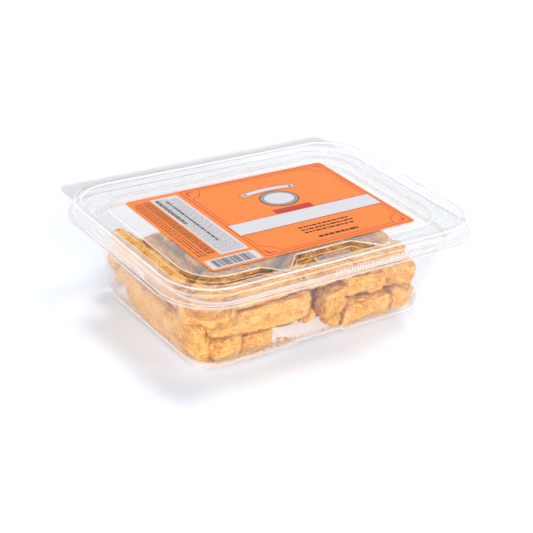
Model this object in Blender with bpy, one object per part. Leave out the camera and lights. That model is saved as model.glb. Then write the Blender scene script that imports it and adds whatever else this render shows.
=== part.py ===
# A shut clear plastic tub of cheese straws: tub, hinged lid, label and the heap of straws inside.
# Sizes are in millimetres and become metres where a mesh is made. X runs along the tub, -Y is its
# front and +Z is up. The outlines are centred on the tub, and the model is centred on its whole box.
import math
import random

import bmesh
import bpy
import numpy as np
from mathutils import Vector

MM = 0.001

# Outlines seen from above: half length, half width, corner radius
BASE = (69.2, 47.2, 14.7)
WALL_TOP = (79.5, 57.0, 21.0)
LIP = (91.0, 66.2, 27.3)
CREST = (88.2, 62.9, 24.4)
PLATEAU = (74.5, 48.9, 18.5)

# Heights
LIP_Z = 45.3
GUARD_TOP_Z = 50.4
CHANNEL_Z = 49.0
PLATEAU_Z = 52.0
CREST_Z = 54.2

SHEET = 0.6  # wall thickness, drawn thicker than the real film so that it can be a solid
GAP = 0.3  # clearance between pieces that touch
ROUND_BEND = 0.3  # where a rounded edge bends, as a share of its radius
CORNER_STEPS = 8

# Tub
FOOT_FILLET = 4.0
LIP_HEIGHT = 1.0
LIP_OVERHANG = 1.9  # how far the lip stands out past the guard wall
ARCH_HALF = 14.0  # half width of the channel under the base and up the long walls
ARCH_SLOPE = 1.6
ARCH_RISE = 2.6
DENT = 1.3
DENT_LOW_Z = 8.0
DENT_HIGH_Z = 38.0
DENT_END_Z = 42.3
GUARD_LEAN = 0.3

# Lid
CREST_WIDTH = 4.0
CREST_ROUND = 0.8
CREST_FOOT = 0.7  # how far the crest's inner wall leans
SHOULDER_OUT = 1.4
SHOULDER_DRAFT = 0.4
PLATEAU_ROUND = 0.7
PLATEAU_EASE = 0.2
PLATEAU_FOOT = 0.9

# Finger notch in the plateau's front edge, with a spur on each side and a bar standing in it
NOTCH_X = -1.8
NOTCH_BACK_Y = -45.5
NOTCH_BACK_HALF = 16.4
NOTCH_FRONT_HALF = 27.6
SPUR_TIP_HALF = 30.0
SPUR_ROOT_HALF = 38.5
NOTCH_FLOOR_RISE = 0.2
SPUR_ROOT_IN = 2.0  # how far the spurs' roots reach in under the plateau's edge
SPUR_TOP_DROP = 0.1
SPUR_BITE = 0.6  # how deep the spurs run into the crest
SPUR_SINK = 0.4  # how deep spurs and bar stand in the floor
SPUR_LAP = 1.0  # how far they lap under the plateau past the notch's back wall
# Corners of the hollow under a spur, outward and backward from its root, its tip and the notch
SPUR_HOLLOW = ((-3.0, 1.6), (-0.2, 3.4), (2.2, 1.6))
CUT_DEPTH = 2.0  # how far a cutter runs past the sheet it opens
BAR = (20.0, 5.0, 2.2)  # length, width, height
BAR_Y = -53.6

# Strip along the back, where lid and tub fold
STRIP_HALF = 83.0
STRIP_EDGE_Y = 73.0
STRIP_CORNER = 6.0
STRIP_SHEET = 0.5

# Label
LABEL_X = (-63.5, 57.8)
LABEL_Y = (-43.6, 37.9)
LABEL_CORNER = 2.5
LABEL_SHEET = 0.3

# Heap of straws
STRAW_SIDES = 8
CLEAR = 0.8  # between the straws and the tub
ARCH_REACH = 30.0  # how far to each side the straws give way to the channel under the base
HEAP_TOP_Z = 46.6
HEAP_BACK_Z = 25.0
SLOPE_START_Y = -4.0
SLOPE_END_Y = 38.0
SLOPE_START_X = 42.0
SLOPE_END_X = 62.0
SLOPE_SLACK = 2.5
CORE_INSET = 12.0
CORE_RIGHT_X = 42.0
CORE_SINK = 12.5
CORE_LIFT = 2.5
CORE_BEND = 10.0  # how far its corners are cut back
CORE_BITE = 1.5  # how deep the straws on the core lie in it
SEED = 11

MID_Y = -(STRIP_EDGE_Y - LIP[1]) / 2  # brings the whole box's centre to the origin

# Straws that show at the front wall, by x and z of their centre, length, depth from the wall,
# height, heading and tilt
FRONT_STRAWS = [
    (-46.5, 38.4, 57.0, 13.5, 14.0, 2.0, 0.5),
    (-2.0, 38.9, 30.0, 13.5, 12.0, -2.0, 1.0),
    (-36.5, 24.2, 55.0, 14.0, 16.5, -1.0, -1.0),
    (-54.0, 11.6, 15.5, 10.0, 14.0, 8.0, 2.0),
    (-37.0, 9.8, 17.0, 12.0, 11.0, -6.0, 3.0),
    (7.0, 20.4, 16.0, 12.0, 15.0, 3.0, 99.0),
    (10.0, 8.6, 12.0, 8.0, 7.0, 20.0, -30.0),
    (24.5, 26.6, 24.0, 12.5, 13.5, -14.0, 4.0),
    (36.0, 9.6, 42.0, 13.0, 14.0, 3.0, -1.0),
    (45.0, 25.6, 27.0, 13.0, 15.0, -38.0, -4.0),
    (29.0, 40.4, 36.0, 12.0, 11.0, 6.0, -3.0),
    (-8.5, 15.6, 8.0, 6.0, 5.5, 12.0, 14.0),
]
# The same at the left wall, by y and z
LEFT_STRAWS = [
    (-2.0, 35.4, 62.0, 10.5, 20.0, 90.0, 0.0),
    (-9.5, 13.0, 66.0, 13.0, 23.0, 90.0, 1.0),
]
# Others that show through the lid or at the right, by the whole centre
FREE_STRAWS = [
    (-62.0, -5.5, 38.5, 46.0, 12.5, 11.0, 84.0, 1.0),
    (-37.0, -31.0, 40.0, 44.0, 13.5, 11.6, 22.0, 0.0),
    (53.0, -30.0, 14.5, 42.0, 13.0, 15.0, 82.0, 2.0),
    (-6.0, -36.0, 40.0, 40.0, 13.5, 11.6, 34.0, 2.0),
    (20.0, -34.0, 39.5, 40.0, 14.0, 12.0, -14.0, -2.0),
    (55.0, -14.0, 24.0, 38.0, 14.0, 12.0, 76.0, -4.0),
    (-66.0, -43.0, 34.0, 28.0, 13.0, 18.0, -50.0, 3.0),
]
FILL_ROUNDS = 80
FILL_TRIES = 80
STRAW_LENGTHS = (30.0, 60.0)
STRAW_WIDTHS = (12.5, 15.5)
HEADING_SPREAD = 45.0
OVERLAP_SHARE = 0.72  # two straws' axes come no nearer than this share of their touching distance
FLATNESS = 0.86  # a filling straw's height over its width
SLOT_X = (-72.0, 60.0)  # the places tried for a straw
SLOT_Y = (-50.0, 50.0)
TILT_SPREAD = 3.0
BEND = 0.03  # how far a straw's middle may stand to the side, as a share of its length
GIRTHS = (0.93, 1.05)
END_LENGTH = 0.22  # how long a straw's round end is, as a share of its width
END_GIRTH = 0.72  # and how thick it ends
SQUARENESS = 3.4  # the power of its cross-section's curve, where 2 is an ellipse
STATIONS = (-1.0, -0.93, -0.55, 0.0, 0.55, 0.93, 1.0)


def clear_scene():
    for obj in list(bpy.data.objects):
        bpy.data.objects.remove(obj, do_unlink=True)


def material(name, colour, roughness, metallic=0.0, alpha=1.0):
    made = bpy.data.materials.new(name)
    made.use_nodes = True
    shader = made.node_tree.nodes["Principled BSDF"]
    shader.inputs["Base Color"].default_value = (*colour, 1.0)
    shader.inputs["Roughness"].default_value = roughness
    shader.inputs["Metallic"].default_value = metallic
    shader.inputs["Alpha"].default_value = alpha
    return made


def add_object(name, bm, made_of=None):
    """Puts a bmesh, given in tub-centred millimetres, into the scene in metres."""
    bmesh.ops.recalc_face_normals(bm, faces=bm.faces)
    for vert in bm.verts:
        vert.co = Vector((vert.co.x, vert.co.y + MID_Y, vert.co.z)) * MM
    mesh = bpy.data.meshes.new(name)
    bm.to_mesh(mesh)
    bm.free()
    obj = bpy.data.objects.new(name, mesh)
    bpy.context.collection.objects.link(obj)
    if made_of:
        mesh.materials.append(made_of)
    return obj


def join(target, other, operation):
    """Applies one Boolean to the target and removes the other object."""
    cut = target.modifiers.new(operation, "BOOLEAN")
    cut.operation = operation
    cut.object = other
    bpy.context.view_layer.objects.active = target
    bpy.ops.object.modifier_apply(modifier=cut.name)
    bpy.data.objects.remove(other, do_unlink=True)


def grow(outline, by):
    return tuple(size + by for size in outline)


def between(low, high, share):
    return tuple(a + (b - a) * share for a, b in zip(low, high))


def corner_arc(outline, quarter):
    """Points of one rounded corner, anticlockwise from the given quarter turn."""
    half_x, half_y, radius = outline
    side_x = (1, -1, -1, 1)[quarter]
    side_y = (1, 1, -1, -1)[quarter]
    for step in range(CORNER_STEPS + 1):
        angle = math.radians(90 * (quarter + step / CORNER_STEPS))
        yield (
            side_x * (half_x - radius) + radius * math.cos(angle),
            side_y * (half_y - radius) + radius * math.sin(angle),
        )


def ring(outline, z, dent=0.0, lift=0.0):
    """One closed loop of points, with the long sides dented and lifted between the feet."""
    half_y = outline[1]
    stops = (-ARCH_HALF - ARCH_SLOPE, -ARCH_HALF, ARCH_HALF, ARCH_HALF + ARCH_SLOPE)
    inward = (0.0, dent, dent, 0.0)
    heights = (z, max(z, lift), max(z, lift), z)
    front = [(x, -half_y + d, h) for x, d, h in zip(stops, inward, heights)]
    back = [(-x, half_y - d, h) for x, d, h in zip(stops, inward, heights)]
    arcs = [[(x, y, z) for x, y in corner_arc(outline, q)] for q in (3, 0, 1, 2)]
    return front + arcs[0] + arcs[1] + back + arcs[2] + arcs[3]


def close_across(bm, loop):
    """Closes a ring with two flat ends and the strips between the feet."""
    arc = 2 * (CORNER_STEPS + 1)
    front = loop[0:4]
    right = loop[4 : 4 + arc]
    back = loop[4 + arc : 8 + arc]
    left = loop[8 + arc :]
    bm.faces.new([front[3], *right, back[0]])
    bm.faces.new([back[3], *left, front[0]])
    for step in range(3):
        bm.faces.new([front[step], front[step + 1], back[2 - step], back[3 - step]])


def loft(rings):
    """A closed body through a list of rings, closed across the first and the last."""
    bm = bmesh.new()
    loops = [[bm.verts.new(point) for point in points] for points in rings]
    for low, high in zip(loops, loops[1:]):
        count = len(low)
        for i in range(count):
            j = (i + 1) % count
            bm.faces.new([low[i], low[j], high[j], high[i]])
    close_across(bm, loops[0])
    close_across(bm, loops[-1])
    return bm


def prism(points, z_low, z_high):
    """A closed prism on a flat outline."""
    bm = bmesh.new()
    base = bm.faces.new([bm.verts.new((x, y, z_low)) for x, y in points])
    top = bmesh.ops.extrude_face_region(bm, geom=[base])["geom"]
    raised = [item for item in top if isinstance(item, bmesh.types.BMVert)]
    bmesh.ops.translate(bm, verts=raised, vec=(0, 0, z_high - z_low))
    return bm


def wall_outline(z, inset=0.0):
    """The tub's outer wall at a height, brought inward."""
    return grow(between(BASE, WALL_TOP, z / LIP_Z), -inset)


def foot_rings(thickness):
    """Rings from the base's flat up round the foot fillet, on a surface this far inside."""
    radius = FOOT_FILLET - thickness
    for angle in (0, 22, 45, 67, 84):
        turn = math.radians(angle)
        z = FOOT_FILLET - radius * math.cos(turn)
        outline = wall_outline(z, FOOT_FILLET - radius * math.sin(turn))
        share = math.sin(turn)
        yield ring(outline, z, DENT * share, ARCH_RISE + thickness)


def make_tub(clear):
    """The tray: base on two feet, dented walls, ledge, lip and the guard wall round the lid."""
    guard = grow(LIP, -LIP_OVERHANG)
    guard_top = grow(guard, -GUARD_LEAN)
    ledge_z = LIP_Z + SHEET
    rings = [
        *foot_rings(0.0),
        ring(wall_outline(DENT_LOW_Z), DENT_LOW_Z, DENT),
        ring(wall_outline(DENT_HIGH_Z), DENT_HIGH_Z, DENT),
        ring(wall_outline(DENT_END_Z), DENT_END_Z),
        ring(WALL_TOP, LIP_Z),
        ring(LIP, LIP_Z),
        ring(LIP, LIP_Z + LIP_HEIGHT),
        ring(guard, LIP_Z + LIP_HEIGHT),
        ring(guard_top, GUARD_TOP_Z),
        ring(grow(guard_top, -SHEET), GUARD_TOP_Z),
        ring(grow(guard, -SHEET), ledge_z),
        ring(grow(WALL_TOP, -SHEET), ledge_z),
        ring(wall_outline(DENT_END_Z, SHEET), DENT_END_Z),
        ring(wall_outline(DENT_HIGH_Z, SHEET), DENT_HIGH_Z, DENT),
        ring(wall_outline(DENT_LOW_Z, SHEET), DENT_LOW_Z, DENT),
        *reversed(list(foot_rings(SHEET))),
    ]
    tub = add_object("tub", loft(rings), clear)
    wall_middle = grow(guard_top, -SHEET / 2)
    top = GUARD_TOP_Z - (SHEET - STRIP_SHEET) / 2
    join(tub, strip("tub_strip", wall_middle, top - STRIP_SHEET), "UNION")
    return tub


def strip(name, outline, z_low):
    """The flat web from the back of a rim out to the fold, squared off past both corners."""
    half_x, half_y, radius = outline
    middle_x, middle_y = half_x - radius, half_y - radius
    end_y = middle_y + math.sqrt(radius**2 - (STRIP_HALF - middle_x) ** 2)
    edge_y = STRIP_EDGE_Y - GAP / 2
    points = [(STRIP_HALF, end_y)]
    for step in range(5):
        turn = math.radians(90 * step / 4)
        points.append(
            (
                STRIP_HALF - STRIP_CORNER * (1 - math.cos(turn)),
                edge_y - STRIP_CORNER * (1 - math.sin(turn)),
            )
        )
    first = math.asin((end_y - middle_y) / radius)
    inner = []
    for step in range(7):
        turn = first + (math.pi / 2 - first) * step / 6
        inner.append(
            (middle_x + radius * math.cos(turn), middle_y + radius * math.sin(turn))
        )
    mirrored = [(-x, y) for x, y in reversed(points)]
    back = [(-x, y) for x, y in inner[1:]] + list(reversed(inner[1:]))
    return add_object(name, prism(points + mirrored + back, z_low, z_low + STRIP_SHEET))


def lid_surface(inset):
    """Rings over the lid from the plateau's edge out to the shoulder, on a surface this far below."""
    plateau = grow(PLATEAU, -inset)
    channel_z = CHANNEL_Z - inset
    crest_in = grow(CREST, -CREST_WIDTH + inset)
    crest_out = grow(CREST, -inset)
    top = CREST_Z - inset
    bend = CREST_ROUND * ROUND_BEND
    shoulder_z = GUARD_TOP_Z + GAP + SHEET - inset
    return [
        ring(grow(plateau, -PLATEAU_ROUND), PLATEAU_Z - inset),
        ring(grow(plateau, -PLATEAU_EASE), PLATEAU_Z - inset - PLATEAU_EASE),
        ring(plateau, PLATEAU_Z - inset - PLATEAU_ROUND),
        ring(grow(plateau, PLATEAU_FOOT), channel_z),
        ring(grow(crest_in, -CREST_FOOT), channel_z),
        ring(crest_in, top - CREST_ROUND),
        ring(grow(crest_in, bend), top - bend),
        ring(grow(crest_in, CREST_ROUND), top),
        ring(grow(crest_out, -CREST_ROUND), top),
        ring(grow(crest_out, -bend), top - bend),
        ring(crest_out, top - CREST_ROUND),
        ring(grow(crest_out, SHOULDER_DRAFT), shoulder_z),
    ]


def around_notch(half, y):
    return [(NOTCH_X - half, y), (NOTCH_X + half, y)]


def make_lid(clear):
    """The lid: plateau, channel, crest and shoulder, with the finger notch and its bar."""
    shoulder = grow(CREST, SHOULDER_OUT)
    low = GUARD_TOP_Z + GAP
    rings = [
        *lid_surface(0.0),
        ring(shoulder, low + SHEET),
        ring(shoulder, low),
        *reversed(lid_surface(SHEET)),
    ]
    lid = add_object("lid", loft(rings), clear)

    tip_y = -(CREST[1] - CREST_WIDTH + SPUR_BITE)
    root_y = SPUR_ROOT_IN - PLATEAU[1]
    inner_y = NOTCH_BACK_Y + SHEET + SPUR_LAP
    floor = CHANNEL_Z + NOTCH_FLOOR_RISE
    left, right = around_notch(SPUR_ROOT_HALF, root_y)
    spurs = [
        left,
        *around_notch(SPUR_TIP_HALF, tip_y),
        right,
        (right[0], inner_y),
        (left[0], inner_y),
    ]
    block = prism(spurs, CHANNEL_Z - SPUR_SINK, PLATEAU_Z - SPUR_TOP_DROP)
    join(lid, add_object("spurs", block), "UNION")
    notch = [
        *around_notch(NOTCH_FRONT_HALF, tip_y + SPUR_BITE / 2),
        *reversed(around_notch(NOTCH_BACK_HALF, NOTCH_BACK_Y)),
    ]
    join(lid, add_object("notch", prism(notch, floor, CREST_Z)), "DIFFERENCE")
    for side in (-1, 1):
        corners = (
            (SPUR_ROOT_HALF, root_y),
            (SPUR_TIP_HALF, tip_y),
            (NOTCH_BACK_HALF, root_y),
        )
        hollow = [
            (NOTCH_X + side * (half + out), y + back)
            for (half, y), (out, back) in zip(corners, SPUR_HOLLOW)
        ]
        cutter = prism(hollow, CHANNEL_Z - CUT_DEPTH, PLATEAU_Z - SHEET - SPUR_TOP_DROP)
        join(lid, add_object("spur_hollow", cutter), "DIFFERENCE")

    length, width, height = BAR
    bar = [
        (NOTCH_X + x * length / 2, BAR_Y + y * width / 2)
        for x, y in ((-1, -1), (1, -1), (1, 1), (-1, 1))
    ]
    join(lid, add_object("bar", prism(bar, floor - SPUR_SINK, floor + height)), "UNION")
    ledge = grow(shoulder, -SHEET / 2)
    z_low = low + (SHEET - STRIP_SHEET) / 2
    join(lid, strip("lid_strip", ledge, z_low), "UNION")
    return lid


def make_label(paper):
    """The label on the plateau, a thin sheet with small round corners."""
    half = (
        (LABEL_X[1] - LABEL_X[0]) / 2,
        (LABEL_Y[1] - LABEL_Y[0]) / 2,
        LABEL_CORNER,
    )
    middle_x, middle_y = sum(LABEL_X) / 2, sum(LABEL_Y) / 2
    points = []
    for quarter in range(4):
        points += list(corner_arc(half, quarter))[::2]
    points = [(x + middle_x, y + middle_y) for x, y in points]
    z_low = PLATEAU_Z + GAP
    return add_object("label", prism(points, z_low, z_low + LABEL_SHEET), paper)


def inside_tub(point):
    """Moves a point back to the nearest place that stays clear of the tub."""
    x, y, z = point
    arch = min(max((ARCH_REACH - abs(x)) / (ARCH_REACH / 2 - ARCH_SLOPE), 0.0), 1.0)
    z = min(max(z, SHEET + CLEAR + ARCH_RISE * arch), HEAP_TOP_Z)
    outline = wall_outline(z, SHEET + CLEAR)
    outline = grow(outline, -max(FOOT_FILLET - z, 0.0) / 2)
    half_x, half_y, radius = outline
    half_y -= DENT * arch
    over_x = abs(x) - (half_x - radius)
    over_y = abs(y) - (half_y - radius)
    if over_x > 0 and over_y > 0:
        reach = math.hypot(over_x, over_y)
        if reach > radius:
            x = math.copysign(half_x - radius + over_x * radius / reach, x)
            y = math.copysign(half_y - radius + over_y * radius / reach, y)
    x = min(max(x, -half_x), half_x)
    y = min(max(y, -half_y), half_y)
    return (x, y, z)


def straw_axis(straw):
    """The straw's middle and its three directions, sheared to the lean of the wall it lies on."""
    x, y, z, _, _, _, heading, tilt, lean = straw
    turn, rise = math.radians(heading), math.radians(tilt)
    flat = math.cos(rise)
    along = Vector((math.cos(turn) * flat, math.sin(turn) * flat, math.sin(rise)))
    across = Vector((-math.sin(turn), math.cos(turn), 0.0))
    up = along.cross(across)
    lean = Vector((*lean, 0.0))
    return Vector((x, y, z)), along + lean * along.z, across, up + lean * up.z


def straw_samples(straw):
    """Points along the straw's axis, short of its round ends."""
    middle, along, _, _ = straw_axis(straw)
    reach = max(straw[3] / 2 - straw[4] / 2, 0.0)
    return np.array([middle + along * (reach * t / 4) for t in range(-4, 5)])


def wall_straws():
    """The straws that show, each set against the wall it lies on."""
    lean_x, lean_y = ((WALL_TOP[i] - BASE[i]) / LIP_Z for i in (0, 1))
    for x, z, length, width, *form in FRONT_STRAWS:
        reach = wall_outline(z, SHEET + CLEAR)[1] - width / 2
        back = abs(math.sin(math.radians(form[1]))) * (length - width) / 2
        back *= abs(math.cos(math.radians(form[2])))
        yield (x, back - reach, z, length, width, *form, (0.0, -lean_y))
    for y, z, length, width, *form in LEFT_STRAWS:
        reach = wall_outline(z, SHEET + CLEAR)[0] - width / 2
        yield (-reach, y, z, length, width, *form, (-lean_x, 0.0))
    for straw in FREE_STRAWS:
        yield (*straw, (0.0, 0.0))


def heap_top(x, y):
    """The heap's height, level at the front left and falling to the back and to the right."""
    back = (y - SLOPE_START_Y) / (SLOPE_END_Y - SLOPE_START_Y)
    side = (x - SLOPE_START_X) / (SLOPE_END_X - SLOPE_START_X)
    share = min(max(back, side, 0.0), 1.0)
    return HEAP_TOP_Z + (HEAP_BACK_Z - HEAP_TOP_Z) * share


def on_core(x, y):
    """Whether a place lies over the core."""
    half_x, half_y, _ = wall_outline(heap_top(x, y) / 2, SHEET + CORE_INSET)
    return -half_x < x < CORE_RIGHT_X and abs(y) < half_y


def lowest_slot(straw, placed):
    """The straw raised to the lowest height where it touches no other, or None outside the tub."""
    half, tall = straw[4] / 2, straw[5] / 2
    points = straw_samples(straw)
    floors = [
        heap_top(x, y) - CORE_SINK - CORE_BITE if on_core(x, y) else SHEET + CLEAR
        for x, y, _ in points
    ]
    lift = (np.array(floors) + tall - points[:, 2]).max()
    blocked = True
    while blocked:
        blocked = False
        for other, other_half, other_tall in placed:
            reach = (half + other_half) * OVERLAP_SHARE
            rise = (tall + other_tall) * OVERLAP_SHARE
            flat = np.linalg.norm(points[:, None, :2] - other[None, :, :2], axis=2)
            drop = np.sqrt(np.maximum(1 - (flat / reach) ** 2, 0.0)) * rise
            height = points[:, None, 2] + lift - other[None, :, 2]
            if (np.abs(height) < drop - 1e-6).any():
                lift += np.where(flat < reach, drop - height, 0.0).max()
                blocked = True
    for x, y, z in points[::4]:
        half_x, half_y, radius = wall_outline(z + lift, SHEET + CLEAR + half)
        over_x = max(abs(x) - (half_x - radius), 0.0)
        over_y = max(abs(y) - (half_y - radius), 0.0)
        if math.hypot(over_x, over_y) > radius:
            return None
        if z + lift + tall > heap_top(x, y) + SLOPE_SLACK:
            return None
    return (*straw[:2], straw[2] + lift, *straw[3:])


def plan_straws():
    """The straws that show, then others laid one by one in the lowest of a few random slots."""
    draw = random.Random(SEED)
    straws = list(wall_straws())
    placed = [(straw_samples(straw), straw[4] / 2, straw[5] / 2) for straw in straws]
    for _ in range(FILL_ROUNDS):
        slots = []
        for _ in range(FILL_TRIES):
            x, y = draw.uniform(*SLOT_X), draw.uniform(*SLOT_Y)
            length, width = draw.uniform(*STRAW_LENGTHS), draw.uniform(*STRAW_WIDTHS)
            heading = draw.gauss(0.0, HEADING_SPREAD)
            step_x = math.cos(math.radians(heading)) / 2
            step_y = math.sin(math.radians(heading)) / 2
            fall = heap_top(x + step_x, y + step_y) - heap_top(x - step_x, y - step_y)
            tilt = math.degrees(math.atan(fall))
            tilt += draw.uniform(-TILT_SPREAD, TILT_SPREAD)
            form = (length, width, width * FLATNESS, heading, tilt, (0.0, 0.0))
            slot = lowest_slot((x, y, 0.0, *form), placed)
            if slot:
                slots.append(slot)
        if slots:
            lowest = min(slots, key=lambda slot: slot[2] - heap_top(slot[0], slot[1]))
            straws.append(lowest)
            placed.append((straw_samples(lowest), lowest[4] / 2, lowest[5] / 2))
    return straws


def straw_solid(straw, draw):
    """One straw: a squarish rod with blunt ends, slightly bent and uneven."""
    middle, along, across, up = straw_axis(straw)
    length, width, tall = straw[3:6]
    bend = draw.uniform(-BEND, BEND) * length
    end_length = width * END_LENGTH
    bm = bmesh.new()
    loops = []
    for station in STATIONS:
        end = max((abs(station) - 1) * length / 2 + end_length, 0.0) / end_length
        girth = math.sqrt(max(1 - end**2, 0.0)) * (1 - END_GIRTH) + END_GIRTH
        girth *= draw.uniform(*GIRTHS)
        centre = middle + along * (station * length / 2) + across * bend * (1 - station**2)
        loop = []
        for side in range(STRAW_SIDES):
            angle = 2 * math.pi * (side + 0.5) / STRAW_SIDES
            c, s = math.cos(angle), math.sin(angle)
            square = (abs(c) ** SQUARENESS + abs(s) ** SQUARENESS) ** (-1 / SQUARENESS)
            point = centre + across * (c * square * girth * width / 2)
            point += up * (s * square * girth * tall / 2)
            loop.append(bm.verts.new(inside_tub(point)))
        loops.append(loop)
    for low, high in zip(loops, loops[1:]):
        for i in range(STRAW_SIDES):
            j = (i + 1) % STRAW_SIDES
            bm.faces.new([low[i], low[j], high[j], high[i]])
    bm.faces.new(loops[0])
    bm.faces.new(loops[-1])
    bmesh.ops.triangulate(bm, faces=bm.faces)
    return bm


def heap_core():
    """The plain block inside the heap that the straws are fused to, its top falling to the back."""
    low_z = SHEET + ARCH_RISE + CORE_LIFT
    low = wall_outline(low_z, SHEET + CORE_INSET)
    stations = (-low[1], CORE_BEND - low[1], SLOPE_START_Y, SLOPE_END_Y - CORE_BEND, low[1])
    bm = bmesh.new()
    loops = []
    for y in stations:
        narrow = CORE_BEND if abs(y) == low[1] else 0.0
        top_z = heap_top(0.0, y) - CORE_SINK
        foot = low[0] - narrow
        head = wall_outline(top_z, SHEET + CORE_INSET)[0] - narrow
        right = CORE_RIGHT_X - narrow
        corners = ((-foot, low_z), (right, low_z), (right, top_z), (-head, top_z))
        loops.append([bm.verts.new((x, y, z)) for x, z in corners])
    for near, far in zip(loops, loops[1:]):
        for i in range(4):
            j = (i + 1) % 4
            bm.faces.new([near[i], near[j], far[j], far[i]])
    bm.faces.new(loops[0])
    bm.faces.new(loops[-1])
    bmesh.ops.triangulate(bm, faces=bm.faces)
    return bm


def make_heap(crust):
    """The heap: a core with every straw fused on by one union."""
    draw = random.Random(SEED + 1)
    heap = add_object("cheese_straws", heap_core(), crust)
    gathered = bpy.data.collections.new("straws")
    for straw in plan_straws():
        piece = add_object("straw", straw_solid(straw, draw))
        bpy.context.collection.objects.unlink(piece)
        gathered.objects.link(piece)
    fuse = heap.modifiers.new("fuse", "BOOLEAN")
    fuse.operation = "UNION"
    fuse.operand_type = "COLLECTION"
    fuse.solver = "MANIFOLD"
    fuse.collection = gathered
    bpy.context.view_layer.objects.active = heap
    bpy.ops.object.modifier_apply(modifier=fuse.name)
    for piece in list(gathered.objects):
        bpy.data.objects.remove(piece, do_unlink=True)
    bpy.data.collections.remove(gathered)
    return heap


def keep_largest(obj):
    """Drops loose scraps and sealed hollows, which are every body but the largest."""
    bm = bmesh.new()
    bm.from_mesh(obj.data)
    left = set(bm.verts)
    bodies = []
    while left:
        start = left.pop()
        body, edge = {start}, [start]
        while edge:
            vert = edge.pop()
            for near in (link.other_vert(vert) for link in vert.link_edges):
                if near in left:
                    left.discard(near)
                    body.add(near)
                    edge.append(near)
        bodies.append(body)
    bodies.sort(key=len)
    scraps = [vert for body in bodies[:-1] for vert in body]
    bmesh.ops.delete(bm, geom=scraps, context="VERTS")
    bm.to_mesh(obj.data)
    bm.free()


def shade(obj):
    obj.data.shade_smooth()
    obj.data.set_sharp_from_angle(angle=math.radians(35))


clear_scene()
clear_plastic = material("clear_pet", (0.9, 0.92, 0.93), 0.06, alpha=0.25)
label_paper = material("printed_label", (0.95, 0.27, 0.08), 0.45)
baked_crust = material("baked_cheese_dough", (0.86, 0.4, 0.09), 0.85)
for part in (
    make_tub(clear_plastic),
    make_lid(clear_plastic),
    make_label(label_paper),
    make_heap(baked_crust),
):
    keep_largest(part)
    shade(part)
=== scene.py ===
# A shut clear PET deli tub of baked cheese straws on a white light table.
# Lengths are in millimetres and become metres where a mesh is made. X runs along the tub, -Y is
# its front and +Z is up. Outlines are centred on the tub, the whole box on the origin.
import math
import random

import bmesh
import bpy
import numpy as np
from mathutils import Matrix, Vector, noise


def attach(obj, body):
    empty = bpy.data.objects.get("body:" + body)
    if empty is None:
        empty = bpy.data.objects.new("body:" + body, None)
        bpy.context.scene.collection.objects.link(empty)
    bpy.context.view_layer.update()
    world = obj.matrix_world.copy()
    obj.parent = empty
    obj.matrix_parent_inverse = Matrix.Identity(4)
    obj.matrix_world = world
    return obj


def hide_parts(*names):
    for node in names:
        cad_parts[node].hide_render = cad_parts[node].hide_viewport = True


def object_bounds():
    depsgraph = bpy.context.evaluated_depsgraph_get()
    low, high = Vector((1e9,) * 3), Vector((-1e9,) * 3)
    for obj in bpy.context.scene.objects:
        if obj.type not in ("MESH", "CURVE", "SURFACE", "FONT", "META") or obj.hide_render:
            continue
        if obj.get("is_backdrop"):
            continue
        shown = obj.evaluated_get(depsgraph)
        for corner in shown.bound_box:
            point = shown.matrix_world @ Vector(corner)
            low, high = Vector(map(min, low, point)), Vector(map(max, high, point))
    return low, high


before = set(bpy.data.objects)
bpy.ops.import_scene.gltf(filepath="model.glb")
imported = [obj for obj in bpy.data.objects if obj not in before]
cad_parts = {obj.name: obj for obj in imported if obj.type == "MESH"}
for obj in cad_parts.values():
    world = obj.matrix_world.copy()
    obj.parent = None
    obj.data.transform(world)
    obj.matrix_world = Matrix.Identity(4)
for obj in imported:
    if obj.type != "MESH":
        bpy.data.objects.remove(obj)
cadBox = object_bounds()
scene = bpy.context.scene

mm = 0.001
midY = -3.4


def linear(code):
    # An sRGB hex colour as linear RGBA
    parts = [int(code[i : i + 2], 16) / 255 for i in (1, 3, 5)]
    return (*[((c + 0.055) / 1.055) ** 2.4 if c > 0.04045 else c / 12.92 for c in parts], 1.0)


def addNode(tree, kind, inputs=(), **settings):
    # One node with its settings; an input is a value, or the node or socket that feeds it
    node = tree.nodes.new(kind)
    for name, value in settings.items():
        setattr(node, name, value)
    for name, value in inputs.items() if isinstance(inputs, dict) else enumerate(inputs):
        if isinstance(value, bpy.types.Node):
            value = value.outputs[0]
        if isinstance(value, bpy.types.NodeSocket):
            tree.links.new(value, node.inputs[name])
        else:
            node.inputs[name].default_value = value
    return node


def scaleOf(size):
    # The texture scale whose features measure this many millimetres
    return 1 / (size * mm)


def weighted(tree, total, layers):
    # A value or socket plus each layer times its weight
    for layer, weight in layers:
        parts = [layer, weight, total]
        total = addNode(tree, "ShaderNodeMath", parts, operation="MULTIPLY_ADD")
    return total


def newMaterial(name):
    made = bpy.data.materials.new(name)
    made.use_nodes = True
    made.node_tree.nodes.clear()
    place = addNode(made.node_tree, "ShaderNodeTexCoord").outputs["Object"]
    return made, made.node_tree, place


def finishSurface(tree, shader):
    addNode(tree, "ShaderNodeOutputMaterial", {"Surface": shader})


def newObject(name, data):
    made = bpy.data.objects.new(name, data)
    scene.collection.objects.link(made)
    return made


def newMesh(name, bm):
    mesh = bpy.data.meshes.new(name)
    bm.to_mesh(mesh)
    bm.free()
    return mesh


def toMetres(bm):
    # From millimetres about the tub to metres about the origin
    for vert in bm.verts:
        vert.co = Vector((vert.co.x, vert.co.y + midY, vert.co.z)) * mm


def markPoints(mesh, name, values):
    mesh.attributes.new(name, "FLOAT", "POINT").data.foreach_set("value", values)


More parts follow.
